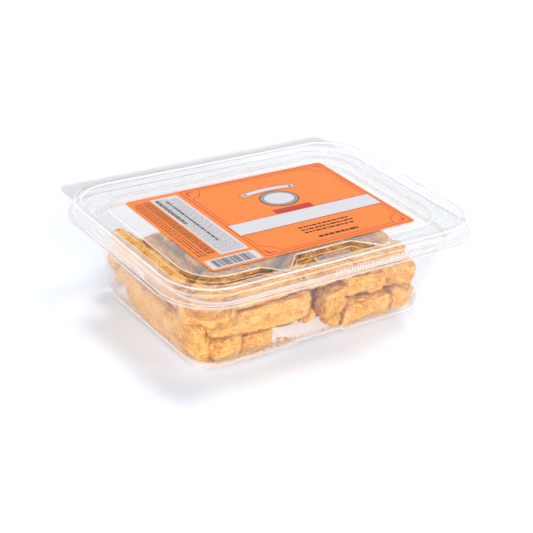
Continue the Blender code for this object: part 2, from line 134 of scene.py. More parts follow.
def addPiece(name, bm, materials, body, sharp=40):
    # Turns a bmesh into a piece that rides on a body
    toMetres(bm)
    mesh = newMesh(name, bm)
    for one in materials:
        mesh.materials.append(one)
    mesh.shade_smooth()
    mesh.set_sharp_from_angle(angle=math.radians(sharp))
    piece = newObject(name, mesh)
    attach(piece, body)
    return piece


# Camera, 90 mm lens on a 36 mm sensor
camera = {
    "lens": 90.40,
    "place": (-0.36724, -0.49030, 0.33558),
    "right": (0.81912, -0.56883, 0.07406),
    "up": (0.20917, 0.41641, 0.88480),
    "back": (-0.53413, -0.70926, 0.46006),
}
print("camera")
cameraData = bpy.data.cameras.new("camera")
cameraData.lens = camera["lens"]
cameraData.sensor_width = 36.0
cameraObject = newObject("camera", cameraData)
turned = Matrix((camera["right"], camera["up"], camera["back"])).transposed()
cameraObject.matrix_world = Matrix.Translation(camera["place"]) @ turned.to_4x4()
scene.camera = cameraObject
scene.view_settings.view_transform = "Standard"
scene.cycles.transparent_max_bounces = 20

# Studio
studio = {
    "sheet": "#e3eaf4",
    "glow": 0.08,  # lit softly from beneath
    "padPaintedLight": 0.78,  # painted pool of light: the floor glows brighter where the tub stands
    "pad": (66.0, 44.0),
    "padFade": (0.85, 1.05),
    "reach": 4.0,  # in metres
    "drop": 0.3,
    "world": "#ffffff",
    "worldStrength": 0.12,
    "polarised": ("front_panel", "left_panel"),  # these leave no glare in the film
    # place, aim, size in metres, radiance
    "lights": {
        "top_panel": ((0.65, 0.30, 1.65), (0.0, 0.0, 0.0), (0.65, 0.5), 21.0),
        "front_high": ((-0.6, -1.3, 1.15), (0.0, 0.0, 0.02), (0.7, 0.5), 11.0),
        "front_panel": ((-0.1, -1.9, 0.48), (0.0, 0.0, 0.02), (0.9, 0.45), 14.0),
        "left_panel": ((-1.9, -0.3, 0.45), (0.0, 0.0, 0.02), (0.8, 0.45), 19.0),
        "edge_right": ((0.96, -1.33, 0.74), (0.0, 0.0, 0.02), (0.35, 0.8), 6.0),
        "edge_left": ((-0.9, 1.28, 0.9), (0.0, 0.0, 0.02), (0.4, 0.4), 9.0),
        "back_panel": ((1.2, 1.6, 0.95), (0.0, 0.0, 0.03), (2.6, 1.3), 0.66),
    },
}
print("studio")
world = bpy.data.worlds.new("studio")
world.use_nodes = True
background = world.node_tree.nodes["Background"]
background.inputs["Color"].default_value = linear(studio["world"])
background.inputs["Strength"].default_value = studio["worldStrength"]
scene.world = world
for name, (place, aim, size, radiance) in studio["lights"].items():
    data = bpy.data.lights.new(name, "AREA")
    data.shape = "RECTANGLE"
    data.size, data.size_y = size
    data.energy = radiance * math.pi * size[0] * size[1]
    lamp = newObject(name, data)
    lamp.location = place
    lamp.rotation_euler = (Vector(place) - Vector(aim)).to_track_quat("Z", "Y").to_euler()
    lamp.visible_glossy = name not in studio["polarised"]

# Opal acrylic sheet on a light table: white, matt, with next to no shine; it glows evenly, and
# more under the tub as a painted pool of light
floorMaterial, tree, place = newMaterial("opal_acrylic_sheet")
away = addNode(tree, "ShaderNodeSeparateXYZ", [place]).outputs
sides = []
for axis, half in enumerate(studio["pad"]):
    part = [away[axis], scaleOf(half)]
    share = addNode(tree, "ShaderNodeMath", part, operation="MULTIPLY")
    sides.append(addNode(tree, "ShaderNodeMath", [share], operation="ABSOLUTE"))
fade = {
    "Value": addNode(tree, "ShaderNodeMath", sides, operation="MAXIMUM"),
    "From Min": studio["padFade"][0],
    "From Max": studio["padFade"][1],
    "To Min": studio["padPaintedLight"],
    "To Max": studio["glow"],
}
acrylic = {
    "Base Color": linear(studio["sheet"]),
    "Roughness": 0.9,
    "Specular IOR Level": 0.1,
    "Emission Color": linear(studio["world"]),
    "Emission Strength": addNode(
        tree, "ShaderNodeMapRange", fade, interpolation_type="SMOOTHSTEP"
    ),
}
finishSurface(tree, addNode(tree, "ShaderNodeBsdfPrincipled", acrylic))
floorMesh = bpy.data.meshes.new("floor")
reach, low = studio["reach"], -studio["drop"] * mm
corners = [(x * reach, y * reach, low) for x, y in ((-1, -1), (1, -1), (1, 1), (-1, 1))]
floorMesh.from_pydata(corners, [], [(0, 1, 2, 3)])
floorMesh.materials.append(floorMaterial)
floor = newObject("floor", floorMesh)
floor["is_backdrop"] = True


# Clear PET sheet
plastic = {
    "tint": "#f9f8f8",
    "straight": 0.062,  # share mirrored by both faces of the sheet, seen straight on
    "grazing": 3.5,
    "roughness": 0.04,
    "rippleSize": 9.0,
    "rippleDepth": 0.3,
    "hazeAndPaintedLight": "#fcf6f3",
    "hazeShare": 0.01,
    "smearSize": 14.0,
    # White share for each unit of mark: forming haze on the plateau, painted highlights and
    # painted light on the other marks
    "markedWhiteShare": 0.125,
    "edgeWhiteAndHighlight": 4.3,  # round edges stretch most and turn white, and this white is also a painted highlight along them, in plateau hazes
    "edgeBell": (0.0, 0.8, 1.0, 0.8, 0.0),
    # Painted light on the foot, as if lit from the floor through the film, and painted
    # highlights on the grip ribs
    "footAndRibPaintedLight": 2.8,
    # Painted highlight: a white stripe on the slopes of each dent in the long walls
    "dentPaintedHighlight": 0.9,
    "channelCalm": -0.75,  # below nought: mirrors less, where the film lies on the straws
}


def clearPlastic(name):
    # Thermoformed PET film: see-through, mirroring more at a slant, with a little forming haze,
    # and white painted on marked edges, feet, dents and ribs as painted highlights and painted
    # light
    made, tree, place = newMaterial(name)
    straight, thin = plastic["straight"], plastic["hazeShare"]
    facing = addNode(tree, "ShaderNodeLayerWeight", {"Blend": 0.5}).outputs["Facing"]
    rise = addNode(tree, "ShaderNodeMath", [facing, plastic["grazing"]], operation="POWER")
    rise = weighted(tree, straight, [(rise, 1 - straight)])
    marked = addNode(tree, "ShaderNodeAttribute", attribute_name="hazeAndPaintedLight").outputs["Fac"]
    calm = addNode(tree, "ShaderNodeMath", [marked, 0.0], operation="MINIMUM")
    calm = addNode(tree, "ShaderNodeMath", [calm, 1.0], operation="ADD")
    mirrored = addNode(tree, "ShaderNodeMath", [rise, calm], operation="MULTIPLY")
    film = addNode(tree, "ShaderNodeBsdfTransparent", {"Color": linear(plastic["tint"])})
    waves = {"Vector": place, "Scale": scaleOf(plastic["rippleSize"]), "Detail": 2.0}
    ripple = {
        "Strength": 0.05,
        "Distance": plastic["rippleDepth"] * mm,
        "Height": addNode(tree, "ShaderNodeTexNoise", waves),
    }
    gloss = {
        "Color": (1, 1, 1, 1),
        "Roughness": plastic["roughness"],
        "Normal": addNode(tree, "ShaderNodeBump", ripple),
    }
    shine = addNode(tree, "ShaderNodeBsdfGlossy", gloss)
    clear = addNode(tree, "ShaderNodeMixShader", [mirrored, film, shine])
    cloud = {"Vector": place, "Scale": scaleOf(plastic["smearSize"]), "Detail": 5.0}
    smear = addNode(tree, "ShaderNodeTexNoise", {**cloud, "Roughness": 0.6})
    # Marked white: forming haze on the plateau, painted highlights on edges, dents and ribs,
    # painted light on the foot
    white = addNode(tree, "ShaderNodeMath", [marked, 0.0], operation="MAXIMUM")
    share = weighted(tree, thin / 2, [(smear, thin), (white, plastic["markedWhiteShare"])])
    milky = {"Color": linear(plastic["hazeAndPaintedLight"]), "Roughness": 0.5}
    dull = addNode(tree, "ShaderNodeBsdfDiffuse", milky)
    finishSurface(tree, addNode(tree, "ShaderNodeMixShader", [share, clear, dull]))
    return made


tubPlastic = clearPlastic("clear_pet_tub")
lidPlastic = clearPlastic("clear_pet_lid")

# Outlines shared by tub and lid: half length, half width, corner radius
outlines = {
    "base": (69.2, 47.2, 14.7),
    "wallTop": (79.5, 57.0, 21.0),
    "lip": (91.0, 66.2, 27.3),
    "crest": (88.2, 62.9, 24.4),
    "plateau": (74.5, 48.9, 18.5),
}
heights = {"lip": 45.3, "guardTop": 50.4, "channel": 49.0, "plateau": 52.0, "crest": 54.2}
cornerSteps = 22


def grow(outline, by):
    return tuple(size + by for size in outline)


def between(low, high, share):
    return tuple(a + (b - a) * share for a, b in zip(low, high))


def wallOutline(z, inset=0.0):
    share = z / heights["lip"]
    return grow(between(outlines["base"], outlines["wallTop"], share), -inset)


def roundProfile(nodes):
    # Rounds a profile, given as tuples of half length, further values, height and rounding
    rounded = []
    steps = len(plastic["edgeBell"])
    for index, node in enumerate(nodes):
        *values, size = node
        values = np.array(values)
        if size == 0 or index in (0, len(nodes) - 1):
            rounded.append(values)
            continue
        ends = []
        for other in (nodes[index - 1], nodes[index + 1]):
            step = np.array(other[:-1]) - values
            length = math.hypot(step[0], step[-1])
            ends.append(values + step * min(size / length, 0.49))
        for share in np.linspace(0, 1, steps):
            near = ends[0] + (values - ends[0]) * share
            far = values + (ends[1] - values) * share
            rounded.append(near + (far - near) * share)
    return rounded


def edgeMarks(nodes):
    # The white of each ring that roundProfile gives, most in the middle of a round edge:
    # stretch whitening and a painted highlight
    marks = []
    for index, node in enumerate(nodes):
        if node[-1] == 0 or index in (0, len(nodes) - 1):
            marks.append(0.0)
        else:
            marks += [share * plastic["edgeWhiteAndHighlight"] for share in plastic["edgeBell"]]
    return marks


def addLoops(bm, rings, marks=None):
    # Joins rings of equally many points into one sheet and returns the first and last loop
    loops = [[bm.verts.new(point) for point in points] for points in rings]
    if marks:
        layer = bm.verts.layers.float["hazeAndPaintedLight"]
        for loop, mark in zip(loops, marks):
            for vert in loop:
                vert[layer] = mark
    for low, high in zip(loops, loops[1:]):
        count = len(low)
        for i in range(count):
            j = (i + 1) % count
            bm.faces.new([low[i], low[j], high[j], high[i]])
    return loops[0], loops[-1]


# Tub
tub = {
    "archHalf": 13.4,
    "archEnd": 16.2,
    "archRise": 2.6,
    "dent": 1.3,
    "footRound": 4.4,
    "baseInset": 12.0,
    "lipHeight": 1.0,
    "lipOverhang": 1.9,
    "guardLean": 0.3,
    "endPoints": (-1, -0.6, -0.2, 0.2, 0.6, 1),
    "dentSpan": (6.0, 36.0),
    "longSide": 40.0,
    "wallSpan": (4.5, 40.0),
}
print("tub")


def archShare(x):
    share = (tub["archEnd"] - abs(x)) / (tub["archEnd"] - tub["archHalf"])
    share = min(max(share, 0.0), 1.0)
    return share * share * (3 - 2 * share)


def tubRing(values):
    # One loop round the tub, its long sides dented and its base lifted over the middle channel
    halfX, halfY, radius, dent, lift, z = values
    half = halfX - radius
    near, far = tub["archHalf"], tub["archEnd"]
    slope = [near + (far - near) * i / 6 for i in range(7)]
    outer = [far + (half - far) * i / 5 for i in range(1, 6)]
    right = [near * i / 3 for i in range(1, 3)] + slope + outer
    xs = [-x for x in reversed(right)] + [0.0] + right
    side = [(x, dent * archShare(x), z + max(lift - z, 0.0) * archShare(x)) for x in xs]
    points = [(x, -halfY + inward, height) for x, inward, height in side]

    def corner(quarter):
        centreX = (1, -1, -1, 1)[quarter] * half
        centreY = (1, 1, -1, -1)[quarter] * (halfY - radius)
        for step in range(1, cornerSteps):
            angle = math.radians(90 * (quarter + step / cornerSteps))
            yield (centreX + radius * math.cos(angle), centreY + radius * math.sin(angle), z)

    def end(sign):
        middle = halfY - radius
        return [(sign * halfX, sign * middle * share, z) for share in tub["endPoints"]]

    points += [*corner(3), *end(1), *corner(0)]
    points += [(-x, halfY - inward, height) for x, inward, height in side]
    points += [*corner(1), *end(-1), *corner(2)]
    return points


def closeBase(bm, loop):
    # Closes the base with strips across the channel and one flat field at each end
    ends = 2 * (cornerSteps - 1) + len(tub["endPoints"])
    side = len(loop) // 2 - ends
    front, right = loop[:side], loop[side : side + ends]
    back, left = loop[side + ends : 2 * side + ends], loop[2 * side + ends :]
    bm.faces.new([front[-1], *right, back[0]])
    bm.faces.new([back[-1], *left, front[0]])
    back.reverse()
    for step in range(side - 1):
        bm.faces.new([front[step], front[step + 1], back[step + 1], back[step]])


lipZ, lipTop = heights["lip"], heights["lip"] + tub["lipHeight"]
guard = grow(outlines["lip"], -tub["lipOverhang"])
dent, rise = tub["dent"], tub["archRise"]
tubProfile = [
    (*grow(outlines["base"], -tub["baseInset"]), 0.0, rise, 0.0, 0.0),
    (*outlines["base"], dent, rise, 0.0, tub["footRound"]),
    (*wallOutline(8.0), dent, rise, 8.0, 2.0),
    (*wallOutline(38.0), dent, rise, 38.0, 2.0),
    (*wallOutline(42.3), 0.0, rise, 42.3, 1.5),
    (*outlines["wallTop"], 0.0, rise, lipZ, 0.9),
    (*outlines["lip"], 0.0, rise, lipZ, 0.35),
    (*outlines["lip"], 0.0, rise, lipTop, 0.35),
    (*guard, 0.0, rise, lipTop, 0.4),
    (*grow(guard, -tub["guardLean"]), 0.0, rise, heights["guardTop"], 0.0),
]
bm = bmesh.new()
hazeAndLightLayer = bm.verts.layers.float.new("hazeAndPaintedLight")
tubRings = [tubRing(values) for values in roundProfile(tubProfile)]
firstLoop, _ = addLoops(bm, tubRings, edgeMarks(tubProfile))
closeBase(bm, firstLoop)

# Strip along the back, one flat web on each half, meeting at the fold
strip = {
    "half": 83.0,
    "edge": 72.85,
    "corner": 6.0,
    "thick": 0.4,
    "tubGap": 0.05,
    "lidGap": 0.1,
    "cornerCuts": 8,
    "rimCuts": 12,
}


def addStrip(bm, outline, zLow):
    # The web from the back of a rim out to the fold, squared off past both corners
    halfX, halfY, radius = outline
    half, corner, edge = strip["half"], strip["corner"], strip["edge"]
    middleX, middleY = halfX - radius, halfY - radius
    first = math.acos((half - middleX) / radius)
    right = [(half, middleY + radius * math.sin(first))]
    for step in range(strip["cornerCuts"] + 1):
        turn = math.radians(90 * step / strip["cornerCuts"])
        inX, inY = corner * (1 - math.cos(turn)), corner * (1 - math.sin(turn))
        right.append((half - inX, edge - inY))
    inner = []
    for step in range(1, strip["rimCuts"] + 1):
        turn = first + (math.pi / 2 - first) * step / strip["rimCuts"]
        inner.append((middleX + radius * math.cos(turn), middleY + radius * math.sin(turn)))
    points = right + [(-x, y) for x, y in reversed(right)]
    points += [(-x, y) for x, y in inner] + list(reversed(inner))
    rings = [[(x, y, z) for x, y in points] for z in (zLow, zLow + strip["thick"])]
    low, high = addLoops(bm, rings)
    bm.faces.new(list(reversed(low)))
    bm.faces.new(high)


stripZ = heights["guardTop"] - strip["thick"] - strip["tubGap"]
addStrip(bm, grow(guard, -tub["guardLean"]), stripZ)
# Painted highlights on the slopes of the dents and painted light on the foot; the walls between
# stay clear
low, high = tub["dentSpan"]
for vert in bm.verts:
    x, y, z = vert.co
    beside = tub["archHalf"] <= abs(x) <= tub["archEnd"] and abs(y) > tub["longSide"]
    if beside and low < z < high:
        vert[hazeAndLightLayer] = plastic["dentPaintedHighlight"]
    elif z < tub["wallSpan"][0]:
        vert[hazeAndLightLayer] = plastic["footAndRibPaintedLight"]
    elif z < tub["wallSpan"][1]:
        vert[hazeAndLightLayer] = 0.0
tubPiece = addPiece("tub_sheet", bm, [tubPlastic], "tub")
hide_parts("tub")


# Lid
lid = {
    "crestWidth": 4.0,
    "crestRound": 0.8,
    "crestLean": 0.7,
    "shoulder": 1.4,
    "plateauLean": 0.9,
    "notchX": -1.8,
    "notchBackY": -45.5,
    "notchBackHalf": 16.4,
    "notchFrontHalf": 27.6,
    "spurTipHalf": 30.2,
    "spurRootHalf": 38.5,
    "spurTipY": -56.9,
    "rootRound": 1.6,
    "tipRound": 0.7,
    "bar": (20.0, 5.0, 2.2),
    "barY": -53.6,
}
print("lid")


def outlineRing(corners, growBy, z):
    # A closed outline of straight runs and round corners, moved outward, at one height
    points = []
    count = len(corners)
    for i, (x, y, radius, steps) in enumerate(corners):
        here = Vector((x, y))
        into = (here - Vector(corners[i - 1][:2])).normalized()
        away = (Vector(corners[(i + 1) % count][:2]) - here).normalized()
        turn = math.atan2(into.x * away.y - into.y * away.x, into.dot(away))
        side = math.copysign(1.0, turn)
        first = math.atan2(-into.x, into.y)
        middle = first + turn / 2
        reach = radius / math.cos(turn / 2)
        centre = here - Vector((math.cos(middle), math.sin(middle))) * side * reach
        for step in range(steps + 1):
            angle = first + turn * step / steps
            offset = Vector((math.cos(angle), math.sin(angle))) * (side * radius + growBy)
            points.append((centre.x + offset.x, centre.y + offset.y, z))
    return points


def rectangle(halfX, halfY, radius, steps, middle=(0.0, 0.0)):
    x, y = middle
    signs = ((1, -1), (1, 1), (-1, 1), (-1, -1))
    return [(x + sx * halfX, y + sy * halfY, radius, steps) for sx, sy in signs]


mid = lid["notchX"]
notch = [
    (lid["spurRootHalf"], -outlines["plateau"][1], lid["rootRound"], 5),
    (lid["spurTipHalf"], lid["spurTipY"], lid["tipRound"], 5),
    (lid["notchFrontHalf"], lid["spurTipY"], lid["tipRound"], 5),
    (lid["notchBackHalf"], lid["notchBackY"], lid["rootRound"], 5),
]
plateauCorners = [(mid - half, *rest) for half, *rest in notch]
plateauCorners += [(mid + half, *rest) for half, *rest in reversed(notch)]
plateauCorners += rectangle(*outlines["plateau"], cornerSteps)
channelZ, plateauZ, crestZ = heights["channel"], heights["plateau"], heights["crest"]
shoulderZ = heights["guardTop"] + 0.7
plateauProfile = [
    (-1.0, plateauZ, 0.0),
    (0.0, plateauZ, 0.7),
    (lid["plateauLean"], channelZ, 0.3),
    (lid["plateauLean"] + 0.3, channelZ, 0.0),
]
width = lid["crestWidth"]
crestProfile = [
    (-width - lid["crestLean"] - 0.3, channelZ, 0.0),
    (-width - lid["crestLean"], channelZ, 0.3),
    (-width, crestZ, lid["crestRound"]),
    (0.0, crestZ, lid["crestRound"]),
    (0.4, shoulderZ, 0.4),
    (lid["shoulder"], shoulderZ, 0.2),
    (lid["shoulder"], shoulderZ - 0.35, 0.0),
]
bm = bmesh.new()
hazeAndLightLayer = bm.verts.layers.float.new("hazeAndPaintedLight")
plateauRings = [outlineRing(plateauCorners, g, z) for g, z in roundProfile(plateauProfile)]
top, plateauFoot = addLoops(bm, plateauRings, edgeMarks(plateauProfile))
topEdges = [bm.edges.get((top[i], top[(i + 1) % len(top)])) for i in range(len(top))]
bmesh.ops.triangle_fill(bm, edges=topEdges, use_beauty=True, normal=(0, 0, 1))
crestCorners = rectangle(*outlines["crest"], cornerSteps)
crestRings = [outlineRing(crestCorners, g, z) for g, z in roundProfile(crestProfile)]
crestFoot, _ = addLoops(bm, crestRings, edgeMarks(crestProfile))
channelEdges = [
    bm.edges.get((loop[i], loop[(i + 1) % len(loop)]))
    for loop in (plateauFoot, crestFoot)
    for i in range(len(loop))
]
bmesh.ops.triangle_fill(bm, edges=channelEdges, use_beauty=True, normal=(0, 0, 1))
length, depth, tall = lid["bar"]
barCorners = rectangle(length / 2, depth / 2, 1.0, 4, (mid, lid["barY"]))
barProfile = [
    (0.3, channelZ, 0.0),
    (0.0, channelZ + tall, 0.5),
    (-0.9, channelZ + tall, 0.0),
]
barRings = [outlineRing(barCorners, g, z) for g, z in roundProfile(barProfile)]
_, barTop = addLoops(bm, barRings, edgeMarks(barProfile))
bm.faces.new(barTop)
stripZ = shoulderZ - strip["thick"] + strip["lidGap"]
addStrip(bm, grow(outlines["crest"], lid["shoulder"]), stripZ)
calm = plastic["channelCalm"]
for loop, mark in ((top, 1.0), (plateauFoot, calm), (crestFoot, calm)):
    # The plateau is hazy from forming, and the channel floor lies dull on the straws
    for vert in loop:
        vert[hazeAndLightLayer] = mark
lidPiece = addPiece("lid_sheet", bm, [lidPlastic], "lid")
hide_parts("lid")

# Cheese straws
straws = {
    "dough": "#fdb54b",
    "toasted": "#e08b33",
    "pale": "#ffcc78",
    # Painted shade where straws touch, with its reach and its fade towards the tops, and its
    # share on the core
    "contactShade": "#a04c1c",
    "contactShadeReach": 1.9,
    "contactShadeFade": 4.0,
    "coreContactShade": 0.65,
    "relief": 0.9,  # depth of the crumbly grain
    "blotch": 6.0,  # sizes of the browning, the curds and the grains
    "grain": 1.3,
    "fine": 0.75,  # flour and ground rice are finer, and this is as fine as still shows
    "cells": 1.1,
    "ridges": 14,
    "ridgePitch": 1.9,
    "ridgeDepth": 0.16,
    "lumpDepth": 0.85,
    "grainDepth": 0.42,
    "square": 3.4,
    "bend": 0.03,
    "girths": (0.93, 1.05),
    "thinning": 0.28,
    "endShare": 0.22,
    "endRings": (0.72, 0.4),
    "cuts": (72, 44),
    "hiddenCuts": (22, 13),
    "spare": 0.35,
}
heap = {
    "sheet": 0.6,
    "clear": 0.8,
    "archReach": 30.0,
    "archSlope": 1.6,
    "footRound": 4.0,
    "topZ": 46.6,
    "backZ": 25.0,
    "slopeStart": -4.0,
    "slopeEnd": 38.0,
    "sideStart": 42.0,
    "sideEnd": 62.0,
    "slopeSlack": 2.5,
    "coreInset": 12.0,
    "coreRight": 42.0,
    "coreSink": 12.5,
    "coreBite": 1.5,
    "coreBend": 10.0,
    "rounds": 80,
    "tries": 80,
    "lengths": (30.0, 60.0),
    "widths": (12.5, 15.5),
    "slotX": (-72.0, 60.0),
    "slotY": (-50.0, 50.0),
    "headingSpread": 45.0,
    "tiltSpread": 3.0,
    "overlap": 0.72,
    "flatness": 0.86,
    "seed": 11,
}
# Straws at the front wall: x, z, length, depth from the wall, height, heading, tilt
frontStraws = [
    (-46.5, 38.4, 57.0, 13.5, 14.0, 2.0, 0.5),
    (-2.0, 38.9, 30.0, 13.5, 12.0, -2.0, 1.0),
    (-36.5, 24.2, 55.0, 14.0, 16.5, -1.0, -1.0),
    (-54.0, 11.6, 15.5, 10.0, 14.0, 8.0, 2.0),
    (-37.0, 9.8, 17.0, 12.0, 11.0, -6.0, 3.0),
    (7.0, 20.4, 16.0, 12.0, 15.0, 3.0, 99.0),
    (10.0, 8.6, 12.0, 8.0, 7.0, 20.0, -30.0),
    (24.5, 26.6, 24.0, 12.5, 13.5, -14.0, 4.0),
    (36.0, 9.6, 42.0, 13.0, 14.0, 3.0, -1.0),
    (45.0, 25.6, 27.0, 13.0, 15.0, -38.0, -4.0),
    (29.0, 40.4, 36.0, 12.0, 11.0, 6.0, -3.0),
    (-8.5, 15.6, 8.0, 6.0, 5.5, 12.0, 14.0),
]
# At the left wall: y, z, then as above
leftStraws = [
    (-2.0, 35.4, 62.0, 10.5, 20.0, 90.0, 0.0),
    (-9.5, 13.0, 66.0, 13.0, 23.0, 90.0, 1.0),
]
# Under the lid and at the right: x, y, z, then as above
freeStraws = [
    (-62.0, -5.5, 38.5, 46.0, 12.5, 11.0, 84.0, 1.0),
    (-37.0, -31.0, 40.0, 44.0, 13.5, 11.6, 22.0, 0.0),
    (53.0, -30.0, 14.5, 42.0, 13.0, 15.0, 82.0, 2.0),
    (-6.0, -36.0, 40.0, 40.0, 13.5, 11.6, 34.0, 2.0),
    (20.0, -34.0, 39.5, 40.0, 14.0, 12.0, -14.0, -2.0),
    (55.0, -14.0, 24.0, 38.0, 14.0, 12.0, 76.0, -4.0),
    (-66.0, -43.0, 34.0, 28.0, 13.0, 18.0, -50.0, 3.0),
]
# One more in the front left corner, laid last, so that the others lie as in the solids
cornerStraw = (-61.0, -37.5, 40.8, 22.0, 13.0, 11.0, 40.0, 0.0, (0.0, 0.0))
print("straws")


def insideTub(x, y, z, spare=0.0):
    # The nearest place that stays clear of the tub's inner face
    arch = (heap["archReach"] - abs(x)) / (heap["archReach"] / 2 - heap["archSlope"])
    arch = min(max(arch, 0.0), 1.0)
    inset = heap["sheet"] + heap["clear"] - spare
    z = min(max(z, inset + tub["archRise"] * arch), heap["topZ"])
    halfX, halfY, radius = grow(wallOutline(z, inset), -max(heap["footRound"] - z, 0.0) / 2)
    halfY -= tub["dent"] * arch
    overX, overY = abs(x) - (halfX - radius), abs(y) - (halfY - radius)
    if overX > 0 and overY > 0:
        reach = math.hypot(overX, overY)
        if reach > radius:
            x = math.copysign(halfX - radius + overX * radius / reach, x)
            y = math.copysign(halfY - radius + overY * radius / reach, y)
    return (min(max(x, -halfX), halfX), min(max(y, -halfY), halfY), z)


def strawAxis(straw):
    # The straw's middle and its three directions, sheared to the lean of the wall it lies on
    x, y, z, _, _, _, heading, tilt, lean = straw
    turn, slant = math.radians(heading), math.radians(tilt)
    flat = math.cos(slant)
    along = Vector((math.cos(turn) * flat, math.sin(turn) * flat, math.sin(slant)))
    across = Vector((-math.sin(turn), math.cos(turn), 0.0))
    up = along.cross(across)
    lean = Vector((*lean, 0.0))
    return Vector((x, y, z)), along + lean * along.z, across, up + lean * up.z


def strawSamples(straw):
    middle, along, _, _ = strawAxis(straw)
    reach = max(straw[3] / 2 - straw[4] / 2, 0.0)
    return np.array([middle + along * (reach * t / 4) for t in range(-4, 5)])


def wallStraws():
    inset = heap["sheet"] + heap["clear"]
    leanX, leanY = (
        (outlines["wallTop"][i] - outlines["base"][i]) / heights["lip"] for i in (0, 1)
    )
    for x, z, length, width, *form in frontStraws:
        reach = wallOutline(z, inset)[1] - width / 2
        back = abs(math.sin(math.radians(form[1]))) * (length - width) / 2
        back *= abs(math.cos(math.radians(form[2])))
        yield (x, back - reach, z, length, width, *form, (0.0, -leanY))
    for y, z, length, width, *form in leftStraws:
        yield (width / 2 - wallOutline(z, inset)[0], y, z, length, width, *form, (-leanX, 0.0))
    for straw in freeStraws:
        yield (*straw, (0.0, 0.0))


def heapTop(x, y):
    # Level at the front left, falling to the back and to the right
    back = (y - heap["slopeStart"]) / (heap["slopeEnd"] - heap["slopeStart"])
    side = (x - heap["sideStart"]) / (heap["sideEnd"] - heap["sideStart"])
    share = min(max(back, side, 0.0), 1.0)
    return heap["topZ"] + (heap["backZ"] - heap["topZ"]) * share


def onCore(x, y):
    halfX, halfY, _ = wallOutline(heapTop(x, y) / 2, heap["sheet"] + heap["coreInset"])
    return -halfX < x < heap["coreRight"] and abs(y) < halfY


def lowestSlot(straw, placed):
    # The straw raised to the lowest height where it touches no other, or None outside the tub
    half, tall = straw[4] / 2, straw[5] / 2
    inset = heap["sheet"] + heap["clear"]
    points = strawSamples(straw)
    sink = heap["coreSink"] + heap["coreBite"]
    floors = [heapTop(x, y) - sink if onCore(x, y) else inset for x, y, _ in points]
    lift = (np.array(floors) + tall - points[:, 2]).max()
    blocked = True
    while blocked:
        blocked = False
        for other, otherHalf, otherTall in placed:
            reach = (half + otherHalf) * heap["overlap"]
            rise = (tall + otherTall) * heap["overlap"]
            flat = np.linalg.norm(points[:, None, :2] - other[None, :, :2], axis=2)
            drop = np.sqrt(np.maximum(1 - (flat / reach) ** 2, 0.0)) * rise
            height = points[:, None, 2] + lift - other[None, :, 2]
            if (np.abs(height) < drop - 1e-6).any():
                lift += np.where(flat < reach, drop - height, 0.0).max()
                blocked = True
    for x, y, z in points[::4]:
        halfX, halfY, radius = wallOutline(z + lift, inset + half)
        overX = max(abs(x) - (halfX - radius), 0.0)
        overY = max(abs(y) - (halfY - radius), 0.0)
        if math.hypot(overX, overY) > radius:
            return None
        if z + lift + tall > heapTop(x, y) + heap["slopeSlack"]:
            return None
    return (*straw[:2], straw[2] + lift, *straw[3:])


def planStraws():
    # The straws that show, then others in the lowest of a few random slots, as in the solids
    draw = random.Random(heap["seed"])
    plan = list(wallStraws())
    placed = [(strawSamples(straw), straw[4] / 2, straw[5] / 2) for straw in plan]
    for _ in range(heap["rounds"]):
        slots = []
        for _ in range(heap["tries"]):
            x, y = draw.uniform(*heap["slotX"]), draw.uniform(*heap["slotY"])
            length, width = draw.uniform(*heap["lengths"]), draw.uniform(*heap["widths"])
            heading = draw.gauss(0.0, heap["headingSpread"])
            turn = math.radians(heading)
            stepX, stepY = math.cos(turn) / 2, math.sin(turn) / 2
            fall = heapTop(x + stepX, y + stepY) - heapTop(x - stepX, y - stepY)
            tilt = math.degrees(math.atan(fall))
            tilt += draw.uniform(-heap["tiltSpread"], heap["tiltSpread"])
            form = (length, width, width * heap["flatness"], heading, tilt, (0.0, 0.0))
            slot = lowestSlot((x, y, 0.0, *form), placed)
            if slot:
                slots.append(slot)
        if slots:
            lowest = min(slots, key=lambda slot: slot[2] - heapTop(slot[0], slot[1]))
            plan.append(lowest)
            placed.append((strawSamples(lowest), lowest[4] / 2, lowest[5] / 2))
    return plan


